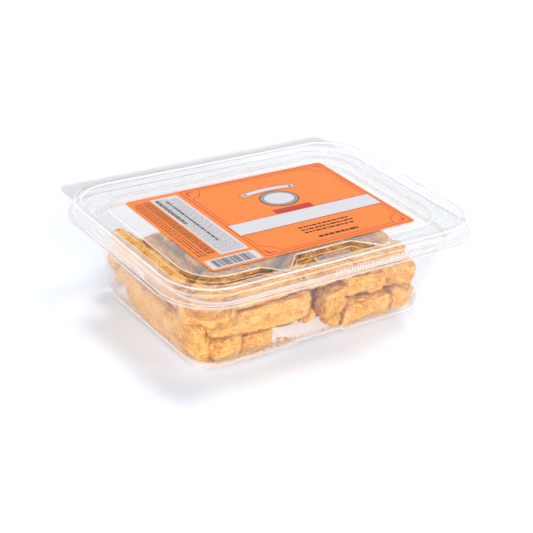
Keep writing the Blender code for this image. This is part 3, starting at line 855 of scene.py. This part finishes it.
def addStraw(vertices, faces, toastAndDipShade, section, straw, draw, fine):
    # One straw: a squarish rod with ridges, lumps, grains and ragged round ends
    middle, along, across, up = strawAxis(straw)
    length, width, tall = straw[3:6]
    bend = draw.uniform(-straws["bend"], straws["bend"]) * length
    girths = [draw.uniform(*straws["girths"]) for _ in range(7)]
    sides, count = straws["cuts"] if fine else straws["hiddenCuts"]
    stations = [math.sin(math.pi / 2 * u) for u in np.linspace(-1, 1, count)]
    endLength, thinning = width * straws["endShare"], straws["thinning"]
    power, spare = straws["square"], straws["spare"]
    seedShift = Vector((straw[0] * 3.1, straw[1] * 2.3, straw[2] * 1.7))
    base = len(vertices)
    for station in stations:
        end = max((abs(station) - 1) * length / 2 + endLength, 0.0) / endLength
        girth = math.sqrt(max(1 - end**2, 0.0)) * thinning + 1 - thinning
        girth *= np.interp(station, (-1.0, -0.93, -0.55, 0.0, 0.55, 0.93, 1.0), girths)
        centre = middle + along * (station * length / 2) + across * bend * (1 - station**2)
        for side in range(sides):
            angle = 2 * math.pi * side / sides
            c, s = math.cos(angle), math.sin(angle)
            shape = (abs(c) ** power + abs(s) ** power) ** (-1 / power) * 0.95
            out = across * c + up * s
            flat = across * (c * shape * width / 2)
            flat += up * (s * shape * tall / 2)
            spot = centre + flat * girth + seedShift
            lump = noise.noise(spot * 0.16) * straws["lumpDepth"] * 1.5
            lump += noise.noise(spot * 0.42) * straws["lumpDepth"]
            grain = noise.noise(spot * 1.3) * straws["grainDepth"]
            ridge = math.cos(angle * straws["ridges"]) * straws["ridgeDepth"] if fine else 0.0
            ridge *= 0.6 + 0.8 * noise.noise(spot * 0.12 + Vector((7, 0, 0)))
            point = centre + flat * girth + out * (lump + grain + ridge - 0.2)
            vertices.append(insideTub(*point, spare=spare))
            # Paler where lumps, ridges and grains rise and darker in the dips: painted shade
            toastAndDipShade.append(0.5 + lump * 0.3 + ridge * 0.5 + grain * 0.7)
            section += (station * length / 2, c * shape * width / 2, s * shape * tall / 2)
    for row in range(count - 1):
        for side in range(sides):
            near, far = base + row * sides, base + (row + 1) * sides
            step = (side + 1) % sides
            faces.append((near + side, near + step, far + step, far + side))
    for row, sign in ((0, -1), (count - 1, 1)):
        # Ragged end face: two inner rings and a middle point
        outer = [base + row * sides + side for side in range(sides)]
        if sign < 0:
            outer.reverse()
        hub = Vector(np.mean([vertices[i] for i in outer], axis=0))
        rim = outer
        for inward in straws["endRings"]:
            inner = []
            for index in outer:
                point = hub + (Vector(vertices[index]) - hub) * inward
                spot = point + seedShift
                bulge = (1 - inward) * 1.1 + noise.noise(spot * 0.7) * 0.7
                inner.append(len(vertices))
                vertices.append(insideTub(*(point + along * sign * bulge), spare=spare))
                # Paler where the end bulges out and darker in its dips: painted shade
                toastAndDipShade.append(0.45 + noise.noise(spot * 0.7) * 0.5)
                section += (0.0, 0.0, 0.0)
            for i in range(sides):
                j = (i + 1) % sides
                faces.append((rim[i], rim[j], inner[j], inner[i]))
            rim = inner
        centre = len(vertices)
        vertices.append(insideTub(*(hub + along * sign * 0.9), spare=spare))
        toastAndDipShade.append(0.45)
        section += (0.0, 0.0, 0.0)
        faces.extend((rim[i], rim[(i + 1) % sides], centre) for i in range(sides))


def contactShadeValues(points, plan, spans, shown):
    # Painted shade between straws: how near each vertex lies to another straw, 1 where they
    # touch
    contactShades = np.zeros(len(points))
    power = straws["square"]
    frames = []
    for straw in plan:
        middle, along, across, up = strawAxis(straw)
        basis = np.linalg.inv(np.array([along, across, up]).T)
        frames.append((np.array(middle), basis, np.array(straw[3:6]) / 2))
    for index, (first, last) in enumerate(spans):
        own = points[first:last]
        ownMiddle, _, ownHalf = frames[index]
        for other, (middle, basis, half) in enumerate(frames):
            far = np.linalg.norm(ownMiddle - middle) > ownHalf[0] + half[0] + 12
            behind = index < shown <= other
            if other == index or far or behind:
                continue
            local = np.abs((own - middle) @ basis.T)
            shape = (local[:, 1] / half[1]) ** power + (local[:, 2] / half[2]) ** power
            beside = (shape ** (1 / power) - 1) * half[1:].min()
            gap = np.maximum(beside, local[:, 0] - half[0])
            near = 1 - np.abs(gap) / straws["contactShadeReach"]
            contactShades[first:last] = np.maximum(contactShades[first:last], near)
    # The painted shade fades out towards the level tops under the lid
    below = (heap["topZ"] - points[:, 2]) / straws["contactShadeFade"]
    return np.clip(contactShades, 0.0, 1.0) * np.clip(below, 0.0, 1.0)


def crustMaterial(name, relief):
    # Baked cheese dough: matt, granular, browned in blotches, with painted shade: pale gold on
    # raised grains and ridges, darker orange in the hollows
    made, tree, place = newMaterial(name)
    marks = []
    for mark in ("toastAndDipShade", "contactShade", "section"):
        marks.append(addNode(tree, "ShaderNodeAttribute", attribute_name=mark).outputs)
    toastAndDipShade, contactShade, section = marks[0]["Fac"], marks[1]["Fac"], marks[2]["Vector"]
    layers = []
    looks = (("blotch", 4.0, 0.6), ("grain", 3.0, 0.75), ("fine", 2.0, 0.75))
    for size, detail, rough in looks:
        given = {"Vector": place, "Scale": scaleOf(straws[size]), "Detail": detail}
        layers.append(addNode(tree, "ShaderNodeTexNoise", {**given, "Roughness": rough}))
    blotch, grain, fine = layers
    given = {"Vector": place, "Scale": scaleOf(straws["cells"]), "Randomness": 1.0}
    cells = addNode(tree, "ShaderNodeTexVoronoi", given, feature="F1").outputs["Distance"]
    # Ridges from the piping die, wandering a little
    across = addNode(tree, "ShaderNodeSeparateXYZ", [section]).outputs
    turn = 2 * math.pi / straws["ridgePitch"]
    wander = addNode(tree, "ShaderNodeMath", [blotch, 5.0], operation="MULTIPLY")
    waves = []
    for axis in (1, 2):
        phase = weighted(tree, wander, [(across[axis], turn)])
        waves.append(addNode(tree, "ShaderNodeMath", [phase], operation="SINE"))
    ridge = addNode(tree, "ShaderNodeMath", waves, operation="ADD")
    # Browning in blotches, with dark flecks, painted shade in the dips of the grain, and
    # painted shade again where straws touch
    start = addNode(tree, "ShaderNodeMath", [toastAndDipShade, -1.3], operation="ADD")
    toastAndBumpShade = weighted(tree, start, [(blotch, 1.1), (ridge, 0.025), (grain, 1.6)])
    ramp = addNode(tree, "ShaderNodeValToRGB", [toastAndBumpShade])
    stops = ramp.color_ramp.elements
    stops[0].position, stops[0].color = 0.12, linear(straws["toasted"])
    stops[1].position, stops[1].color = 0.88, linear(straws["pale"])
    stops.new(0.45).color = linear(straws["dough"])
    flecks = {0: 0.5, 6: ramp, 7: weighted(tree, -0.2, [(fine, 2.6)])}
    flecked = addNode(tree, "ShaderNodeMix", flecks, data_type="RGBA", blend_type="MULTIPLY")
    ragged = weighted(tree, contactShade, [(grain, 0.8)])
    edge = {"Value": ragged, "From Min": 0.55, "From Max": 1.4, "To Max": 0.5}
    dark = addNode(tree, "ShaderNodeMapRange", edge, interpolation_type="SMOOTHSTEP")
    shaded = {0: dark, 6: flecked.outputs[2], 7: linear(straws["contactShade"])}
    height = weighted(tree, grain, [(cells, 0.7), (fine, 0.4), (ridge, 0.12)])
    bump = {"Strength": 1.0, "Distance": relief * mm, "Height": height}
    dough = {
        "Base Color": addNode(tree, "ShaderNodeMix", shaded, data_type="RGBA").outputs[2],
        "Roughness": 0.85,
        "Specular IOR Level": 0.25,
        "Normal": addNode(tree, "ShaderNodeBump", bump),
    }
    finishSurface(tree, addNode(tree, "ShaderNodeBsdfPrincipled", dough))
    return made


crust = crustMaterial("baked_cheese_dough", straws["relief"])
plan = planStraws()
shown = len(frontStraws) + len(leftStraws) + len(freeStraws)
plan.insert(shown, cornerStraw)
shown += 1
vertices, faces, toastAndDipShade, section, spans = [], [], [], [], []
draw = random.Random(heap["seed"] + 1)
for index, straw in enumerate(plan):
    first = len(vertices)
    addStraw(vertices, faces, toastAndDipShade, section, straw, draw, index < shown)
    spans.append((first, len(vertices)))
print("straws laid", len(plan), "faces", len(faces))
mesh = bpy.data.meshes.new("cheese_straws_detail")
mesh.from_pydata([(x * mm, (y + midY) * mm, z * mm) for x, y, z in vertices], [], faces)
markPoints(mesh, "toastAndDipShade", toastAndDipShade)
contactShades = contactShadeValues(np.array(vertices), plan, spans, shown)
markPoints(mesh, "contactShade", contactShades)
mesh.attributes.new("section", "FLOAT_VECTOR", "POINT").data.foreach_set("vector", section)
mesh.materials.append(crust)
mesh.shade_smooth()
strawPiece = newObject("cheese_straws_detail", mesh)
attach(strawPiece, "tub")
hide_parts("cheese_straws")


def heapCore():
    # The block inside the heap, seen only as the dark between the straws
    lowZ = heap["sheet"] + tub["archRise"] + 2.5
    low = wallOutline(lowZ, heap["sheet"] + heap["coreInset"])
    bend = heap["coreBend"]
    stops = (-low[1], bend - low[1], heap["slopeStart"], heap["slopeEnd"] - bend, low[1])
    bm = bmesh.new()
    loops = []
    for y in stops:
        narrow = bend if abs(y) == low[1] else 0.0
        topZ = heapTop(0.0, y) - heap["coreSink"]
        foot = low[0] - narrow
        head = wallOutline(topZ, heap["sheet"] + heap["coreInset"])[0] - narrow
        right = heap["coreRight"] - narrow
        corners = ((-foot, lowZ), (right, lowZ), (right, topZ), (-head, topZ))
        loops.append([bm.verts.new((x, y, z)) for x, z in corners])
    for near, far in zip(loops, loops[1:]):
        for i in range(4):
            j = (i + 1) % 4
            bm.faces.new([near[i], near[j], far[j], far[i]])
    bm.faces.new(loops[0])
    bm.faces.new(loops[-1])
    bmesh.ops.recalc_face_normals(bm, faces=bm.faces)
    bmesh.ops.subdivide_edges(bm, edges=bm.edges, cuts=12, use_grid_fill=True)
    for vert in bm.verts:
        lump = noise.noise(vert.co * 0.12) * 1.6 + noise.noise(vert.co * 0.4) * 0.7
        vert.co += vert.normal * (lump - 1.0)
    return bm


corePiece = addPiece("straw_core", heapCore(), [crust], "tub")
# Painted shade over the whole core, so it reads as the dark between the straws
markPoints(corePiece.data, "contactShade", [straws["coreContactShade"]] * len(corePiece.data.vertices))

# Label
print("label")
label = {
    "x": (-63.5, 57.8),
    "y": (-43.6, 37.9),
    "corner": 2.5,
    "low": 52.32,
    "thickness": 0.18,
    "ink": 0.03,
    "orange": "#e67d39",
    "white": "#c8c7cd",
    "red": "#b23a2c",
    "black": "#2b2422",
    "grey": "#8f8a88",
    "fibre": 1.2,
    "cloud": 18.0,
    # Side panel: its two white boxes as x from and to, y from and to
    "boxes": [(-50.8, -35.2, -30.9, 34.6), (-62.2, -34.4, -42.3, -33.4)],
    "bars": (-59.3, -37.5, -41.2, -34.4),
    "barWidths": (0.25, 0.4, 0.6, 0.85),
    "barGaps": (0.3, 0.45, 0.7),
    # Main panel: frame, corners, band, tab, oval and ribbon
    "panel": (-32.2, 55.9, -42.0, 36.4),
    "rule": 0.5,
    "innerRule": 0.4,
    "innerInset": 2.0,
    "bite": 7.5,
    "biteStep": 1.3,
    "fan": (1.9, 8.2),
    "band": (-31.6, 55.3, -19.3, -6.7),
    "bandRule": 0.45,
    "tab": (-1.5, 21.5, -6.5, -1.9),
    "ovalMiddle": (10.3, 8.6),
    "ovals": [("black", 11.0, 8.9), ("grey", 10.5, 8.4), ("white", 8.3, 6.2)],
    "ribbonY": 20.3,
    "ribbons": [("black", 17.4, 4.0, 2.2), ("white", 16.9, 3.3, 2.1)],
    "diamond": (14.0, 18.9, 1.2, 1.1),
}


def printMaterial(name, code):
    # Semi-gloss coated label stock with faint paper fibre and press grain
    made, tree, place = newMaterial(name)
    given = {"Vector": place, "Scale": scaleOf(label["fibre"]), "Detail": 4.0}
    fibre = addNode(tree, "ShaderNodeTexNoise", {**given, "Roughness": 0.65})
    given = {"Vector": place, "Scale": scaleOf(label["cloud"]), "Detail": 2.0}
    cloud = addNode(tree, "ShaderNodeTexNoise", given)
    tone = {0: 1.0, 6: linear(code), 7: weighted(tree, 0.93, [(fibre, 0.10), (cloud, 0.05)])}
    tinted = addNode(tree, "ShaderNodeMix", tone, data_type="RGBA", blend_type="MULTIPLY")
    bump = {"Strength": 0.15, "Distance": 0.1 * mm, "Height": fibre}
    stock = {
        "Base Color": tinted.outputs[2],
        "Roughness": 0.32,
        "Specular IOR Level": 0.15,
        "Normal": addNode(tree, "ShaderNodeBump", bump),
    }
    finishSurface(tree, addNode(tree, "ShaderNodeBsdfPrincipled", stock))
    return made


inks = ["orange", "white", "red", "black", "grey"]
printMaterials = [printMaterial("label_" + ink, label[ink]) for ink in inks]
labelTop = label["low"] + label["thickness"]
bm = bmesh.new()


def patch(points, ink, layer=1):
    # A flat field of one ink, as tub-centred outline points
    z = labelTop + label["ink"] * layer
    face = bm.faces.new([bm.verts.new((x, y, z)) for x, y in points])
    face.material_index = inks.index(ink)
    if face.normal.z < 0:
        face.normal_flip()


def field(x0, x1, y0, y1, ink, layer=1):
    patch([(x0, y0), (x1, y0), (x1, y1), (x0, y1)], ink, layer)


def mitre(p, q, r, width):
    # Half a line's width across the corner at q
    into, away = (q - p).normalized(), (r - q).normalized()
    side = Vector((-into.y - away.y, into.x + away.x)).normalized()
    return side * (width / 2) / max(side.dot(Vector((-into.y, into.x))), 0.3)


def ruled(points, width, ink):
    # A closed ruled line along an outline
    points = [Vector(point) for point in points]
    count = len(points)
    for i in range(count):
        a, b, after = points[i], points[(i + 1) % count], points[(i + 2) % count]
        first, last = mitre(points[i - 1], a, b, width), mitre(a, b, after, width)
        patch([a - first, b - last, b + last, a + first], ink)


def greeked(x0, x1, y0, y1, lines, ink, seed, across, fill, layer):
    # Rows of small bars that stand in for lines of print
    draw = random.Random(seed)
    span = x1 - x0 if across else y1 - y0
    pitch = (y1 - y0 if across else x1 - x0) / lines
    for row in range(lines):
        at = 0.0
        while at < span * 0.97:
            word = min(draw.uniform(0.9, 3.6), span - at)
            edge = row * pitch + pitch * (1 - fill) / 2
            if across:
                field(x0 + at, x0 + at + word, y0 + edge, y0 + edge + pitch * fill, ink, layer)
            else:
                field(x0 + edge, x0 + edge + pitch * fill, y0 + at, y0 + at + word, ink, layer)
            at += word + draw.uniform(0.5, 0.9)


labelX, labelY = label["x"], label["y"]
sheetMid = (sum(labelX) / 2, sum(labelY) / 2)
sheetHalf = ((labelX[1] - labelX[0]) / 2, (labelY[1] - labelY[0]) / 2)
sheetCorners = rectangle(*sheetHalf, label["corner"], 8, sheetMid)
sheetProfile = [(0.0, label["low"], 0.0), (0.0, labelTop, 0.06), (-0.3, labelTop, 0.0)]
under, upper = addLoops(
    bm, [outlineRing(sheetCorners, g, z) for g, z in roundProfile(sheetProfile)]
)
bm.faces.new(upper)
bm.faces.new(list(reversed(under))).material_index = inks.index("white")

for box in label["boxes"]:
    field(*box, "white")
barDraw = random.Random(8)
at, last, low, high = label["bars"]
while at < last:
    wide = barDraw.choice(label["barWidths"])
    field(at, at + wide, low, high, "black", 2)
    at += wide + barDraw.choice(label["barGaps"])

# Lines: x from and to, y from and to, count, ink, seed, along X, share that is inked, layer
for row in (
    (-49.8, -36.6, -29.5, 33.0, 12, "grey", 3, False, 0.42, 2),
    (-49.4, -47.2, 4.0, 32.4, 2, "black", 4, False, 0.6, 3),
    (-44.6, -43.0, -18.0, 30.0, 1, "black", 5, False, 0.6, 3),
    (-62.0, -57.0, -29.0, 33.0, 3, "black", 6, False, 0.34, 2),
    (-56.4, -51.8, -28.0, 35.0, 4, "black", 7, False, 0.5, 2),
    (-1.5, 30.0, -31.5, -23.0, 3, "black", 9, True, 0.42, 2),
    (2.5, 26.5, -37.6, -34.8, 1, "black", 10, True, 0.6, 2),
):
    greeked(*row)


def hollowFrame(inset, bite):
    # A frame whose corners are bitten out by quarter circles, with a small step beside each
    x0, x1, y0, y1 = label["panel"]
    x0, x1, y0, y1 = x0 + inset, x1 - inset, y0 + inset, y1 - inset
    points = []
    for cx, cy, start in ((x1, y0, 180), (x1, y1, 270), (x0, y1, 0), (x0, y0, 90)):
        turns = [math.radians(start - 90 * i / 8) for i in range(9)]
        arc = [(cx + bite * math.cos(turn), cy + bite * math.sin(turn)) for turn in turns]
        ends = []
        for x, y in (arc[0], arc[-1]):
            out = Vector((x - cx, y - cy)).normalized() * label["biteStep"]
            ends.append((x + out.x, y + out.y))
        points += [ends[0], *arc, ends[1]]
    return points


x0, x1, y0, y1 = label["panel"]
panelCorners = [(x0, y0), (x1, y0), (x1, y1), (x0, y1)]
ruled(panelCorners, label["rule"], "red")
ruled(hollowFrame(label["innerInset"], label["bite"]), label["innerRule"], "red")
near, tip = label["fan"]
for cx, cy in panelCorners:
    # Small fan in each corner
    sx, sy = math.copysign(1, sheetMid[0] - cx), math.copysign(1, sheetMid[1] - cy)
    root = (cx + sx * near, cy + sy * near)
    middle = (cx + sx * near * 1.6, cy + sy * near * 1.6)
    patch([root, (cx + sx * tip, cy + sy * near), middle], "red")
    patch([root, middle, (cx + sx * near, cy + sy * tip)], "red")
x0, x1, y0, y1 = label["band"]
field(x0, x1, y0, y1, "red", 2)
field(x0, x1, y0 + label["bandRule"], y1 - label["bandRule"], "white", 3)
field(*label["tab"], "red", 2)


def oval(cx, cy, rx, ry, ink, layer):
    turns = [2 * math.pi * i / 48 for i in range(48)]
    patch([(cx + rx * math.cos(t), cy + ry * math.sin(t)) for t in turns], ink, layer)


def ribbon(cx, cy, half, thick, sag, ink, layer):
    # A banner bent over the oval, its ends cut to a swallowtail
    shares = [i / 12 - 1 for i in range(25)]
    upper = [(cx + half * t, cy + thick / 2 - sag * t * t) for t in shares]
    lower = [(cx + half * t, cy - thick / 2 - sag * t * t) for t in shares]
    notch = half - thick * 0.5
    right, left = (cx + notch, cy - sag), (cx - notch, cy - sag)
    patch([left, *upper[:13], *reversed(lower[:13])], ink, layer)
    patch([*upper[12:], right, *reversed(lower[12:])], ink, layer)


middleX, middleY = label["ovalMiddle"]
for layer, (ink, halfX, halfY) in enumerate(label["ovals"], 2):
    oval(middleX, middleY, halfX, halfY, ink, layer)
for layer, (ink, half, thick, sag) in enumerate(label["ribbons"], 2):
    ribbon(middleX, label["ribbonY"], half, thick, sag, ink, layer)
aside, y, halfX, halfY = label["diamond"]
for x in (middleX - aside, middleX + aside):
    patch([(x - halfX, y), (x, y - halfY), (x + halfX, y), (x, y + halfY)], "red", 4)
labelPiece = addPiece("label_print", bm, printMaterials, "lid", sharp=30)
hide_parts("label")

# Crumbs
crumbs = {
    "count": 260,
    "seed": 4,
    "small": 0.45,
    "large": 1.7,
    "skew": 2.6,  # most are small
    "relief": 0.12,
    "toastAndDipShade": (1.15, 0.3),
    "beds": [  # along the front wall, left and right of its middle, and along the left wall
        [(-64, -45.8), (-8, -45.8), (-20, -38.0), (-60, -38.0)],
        [(2, -46.2), (30, -46.2), (28, -43.0), (4, -43.0)],
        [(-69.6, -42), (-65.5, -40), (-66.5, 26), (-69.6, 26)],
    ],
    "bedCuts": (26, 4),
}
print("crumbs")


def nodeTree(name, sockets):
    # A Geometry Nodes group with named inputs and one geometry output
    tree = bpy.data.node_groups.new(name, "GeometryNodeTree")
    for title, kind in sockets.items():
        tree.interface.new_socket(title, in_out="INPUT", socket_type="NodeSocket" + kind)
    tree.interface.new_socket("Made", in_out="OUTPUT", socket_type="NodeSocketGeometry")
    return tree, addNode(tree, "NodeGroupInput").outputs


def realised(tree, instances, material):
    # Ends a group: instances made real, with their material
    real = addNode(tree, "GeometryNodeRealizeInstances", [instances])
    given = {"Geometry": real, "Material": material}
    addNode(tree, "NodeGroupOutput", [addNode(tree, "GeometryNodeSetMaterial", given)])


def grown(name, baseMesh, tree, source, values):
    # Runs a group on a base mesh and returns the plain result; inputs go by socket identifier
    base = newObject(name + "_base", baseMesh)
    modifier = base.modifiers.new(name, "NODES")
    modifier.node_group = tree
    for item in tree.interface.items_tree:
        if item.item_type == "SOCKET" and item.in_out == "INPUT" and item.name in values:
            modifier[item.identifier] = values[item.name]
    bpy.context.view_layer.update()
    depsgraph = bpy.context.evaluated_depsgraph_get()
    plain = bpy.data.meshes.new_from_object(base.evaluated_get(depsgraph))
    plain.name = name
    bpy.data.objects.remove(base, do_unlink=True)
    bpy.data.objects.remove(source, do_unlink=True)
    plain.shade_smooth()
    return plain


def crumbTree():
    # Scatters small broken bits over the faces of a bed
    sockets = {
        "Bed": "Geometry",
        "Crumb": "Object",
        "Density": "Float",
        "Seed": "Int",
        "Smallest": "Float",
        "Largest": "Float",
        "Skew": "Float",
        "Crust": "Material",
    }
    tree, given = nodeTree("crumb_scatter", sockets)
    bed = {"Mesh": given["Bed"], "Density": given["Density"], "Seed": given["Seed"]}
    spread = addNode(tree, "GeometryNodeDistributePointsOnFaces", bed)
    shape = addNode(tree, "GeometryNodeObjectInfo", {"Object": given["Crumb"]})
    turns = {0: (0, 0, 0), 1: (6.28, 6.28, 6.28), "Seed": given["Seed"]}
    turn = addNode(tree, "FunctionNodeRandomValue", turns, data_type="FLOAT_VECTOR")
    shares = {2: 0.0, 3: 1.0, "Seed": given["Seed"]}
    share = addNode(tree, "FunctionNodeRandomValue", shares, data_type="FLOAT").outputs[1]
    skewed = addNode(tree, "ShaderNodeMath", [share, given["Skew"]], operation="POWER")
    sizes = {"Value": skewed, "To Min": given["Smallest"], "To Max": given["Largest"]}
    points = {
        "Points": spread.outputs["Points"],
        "Instance": shape.outputs["Geometry"],
        "Rotation": turn,
        "Scale": addNode(tree, "ShaderNodeMapRange", sizes),
    }
    placed = addNode(tree, "GeometryNodeInstanceOnPoints", points)
    realised(tree, placed, given["Crust"])
    return tree


# One broken bit, a millimetre across
bm = bmesh.new()
bmesh.ops.create_icosphere(bm, subdivisions=2, radius=0.5 * mm)
for vert in bm.verts:
    spot = vert.co / mm
    vert.co *= 1.0 + 0.55 * noise.noise(spot * 2.3) + 0.25 * noise.noise(spot * 5.0)
bit = newObject("crumb_bit", newMesh("crumb_bit", bm))

# Beds: strips of the bare base
bm = bmesh.new()
bedLong, bedWide = crumbs["bedCuts"]
for points in crumbs["beds"]:
    a, b, c, d = (Vector(point) for point in points)
    rows = []
    for i in range(bedLong + 1):
        low, high = a.lerp(b, i / bedLong), d.lerp(c, i / bedLong)
        spots = [low.lerp(high, j / bedWide) for j in range(bedWide + 1)]
        rows.append([bm.verts.new(insideTub(*spot, 0.0, spare=0.45)) for spot in spots])
    for low, high in zip(rows, rows[1:]):
        for j in range(bedWide):
            bm.faces.new([low[j], high[j], high[j + 1], low[j + 1]])
area = sum(face.calc_area() for face in bm.faces) * mm * mm
toMetres(bm)
bedMesh = newMesh("crumb_bed", bm)
crumbValues = {
    "Crumb": bit,
    "Density": crumbs["count"] / area,
    "Seed": crumbs["seed"],
    "Smallest": crumbs["small"],
    "Largest": crumbs["large"],
    "Skew": crumbs["skew"],
    "Crust": crustMaterial("golden_crumbs", crumbs["relief"]),
}
crumbMesh = grown("crumbs", bedMesh, crumbTree(), bit, crumbValues)
base, swing = crumbs["toastAndDipShade"]
toastAndDipShade = [base + swing * noise.noise(Vector(v.co) / mm * 0.9) for v in crumbMesh.vertices]
markPoints(crumbMesh, "toastAndDipShade", toastAndDipShade)
crumbPiece = newObject("crumbs", crumbMesh)
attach(crumbPiece, "tub")

# Grip ribs pressed into the tub's rim
ribs = {
    "count": 32,
    "pitch": 1.6,
    "thick": 0.75,
    "tall": 3.3,
    "middleZ": 48.3,
    "frontX": -8.0,
    "leftY": -25.0,
    "sink": 0.1,
}
print("ribs")


def ribTree():
    # One rib repeated in a straight row along the front rim and in another along the left one
    sockets = {
        "Base": "Geometry",
        "Rib": "Object",
        "Count": "Int",
        "Pitch": "Float",
        "Front Start": "Vector",
        "Left Start": "Vector",
        "Plastic": "Material",
    }
    tree, given = nodeTree("rib_rows", sockets)
    rows = addNode(tree, "GeometryNodeJoinGeometry")
    for start, axis in (("Front Start", "X"), ("Left Start", "Y")):
        row = {
            "Count": given["Count"],
            "Start Location": given[start],
            "Offset": addNode(tree, "ShaderNodeCombineXYZ", {axis: given["Pitch"]}),
        }
        line = addNode(tree, "GeometryNodeMeshLine", row, mode="OFFSET")
        tree.links.new(line.outputs[0], rows.inputs[0])
    shape = addNode(tree, "GeometryNodeObjectInfo", {"Object": given["Rib"]})
    points = {"Points": rows, "Instance": shape.outputs["Geometry"]}
    realised(tree, addNode(tree, "GeometryNodeInstanceOnPoints", points), given["Plastic"])
    return tree


bm = bmesh.new()
bmesh.ops.create_uvsphere(bm, u_segments=12, v_segments=8, radius=ribs["thick"] / 2 * mm)
stretch = (ribs["tall"] - ribs["thick"]) / 2 * mm
for vert in bm.verts:
    vert.co.z += math.copysign(stretch, vert.co.z) if abs(vert.co.z) > 1e-6 else 0.0
rib = newObject("rib", newMesh("rib", bm))
guardX, guardY, _ = grow(guard, -ribs["sink"])
ribValues = {
    "Rib": rib,
    "Count": ribs["count"],
    "Pitch": ribs["pitch"] * mm,
    "Front Start": (ribs["frontX"] * mm, (midY - guardY) * mm, ribs["middleZ"] * mm),
    "Left Start": (-guardX * mm, (ribs["leftY"] + midY) * mm, ribs["middleZ"] * mm),
    "Plastic": tubPlastic,
}
ribMesh = grown("rim_ribs", bpy.data.meshes.new("rib_base"), ribTree(), rib, ribValues)
# The ribs are whitened as painted highlights
markPoints(ribMesh, "hazeAndPaintedLight", [plastic["footAndRibPaintedLight"]] * len(ribMesh.vertices))
ribPiece = newObject("rim_ribs", ribMesh)
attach(ribPiece, "tub")

boxes = {"cad": cadBox, "visual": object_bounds()}
{name: [list(corner) for corner in box] for name, box in boxes.items()}
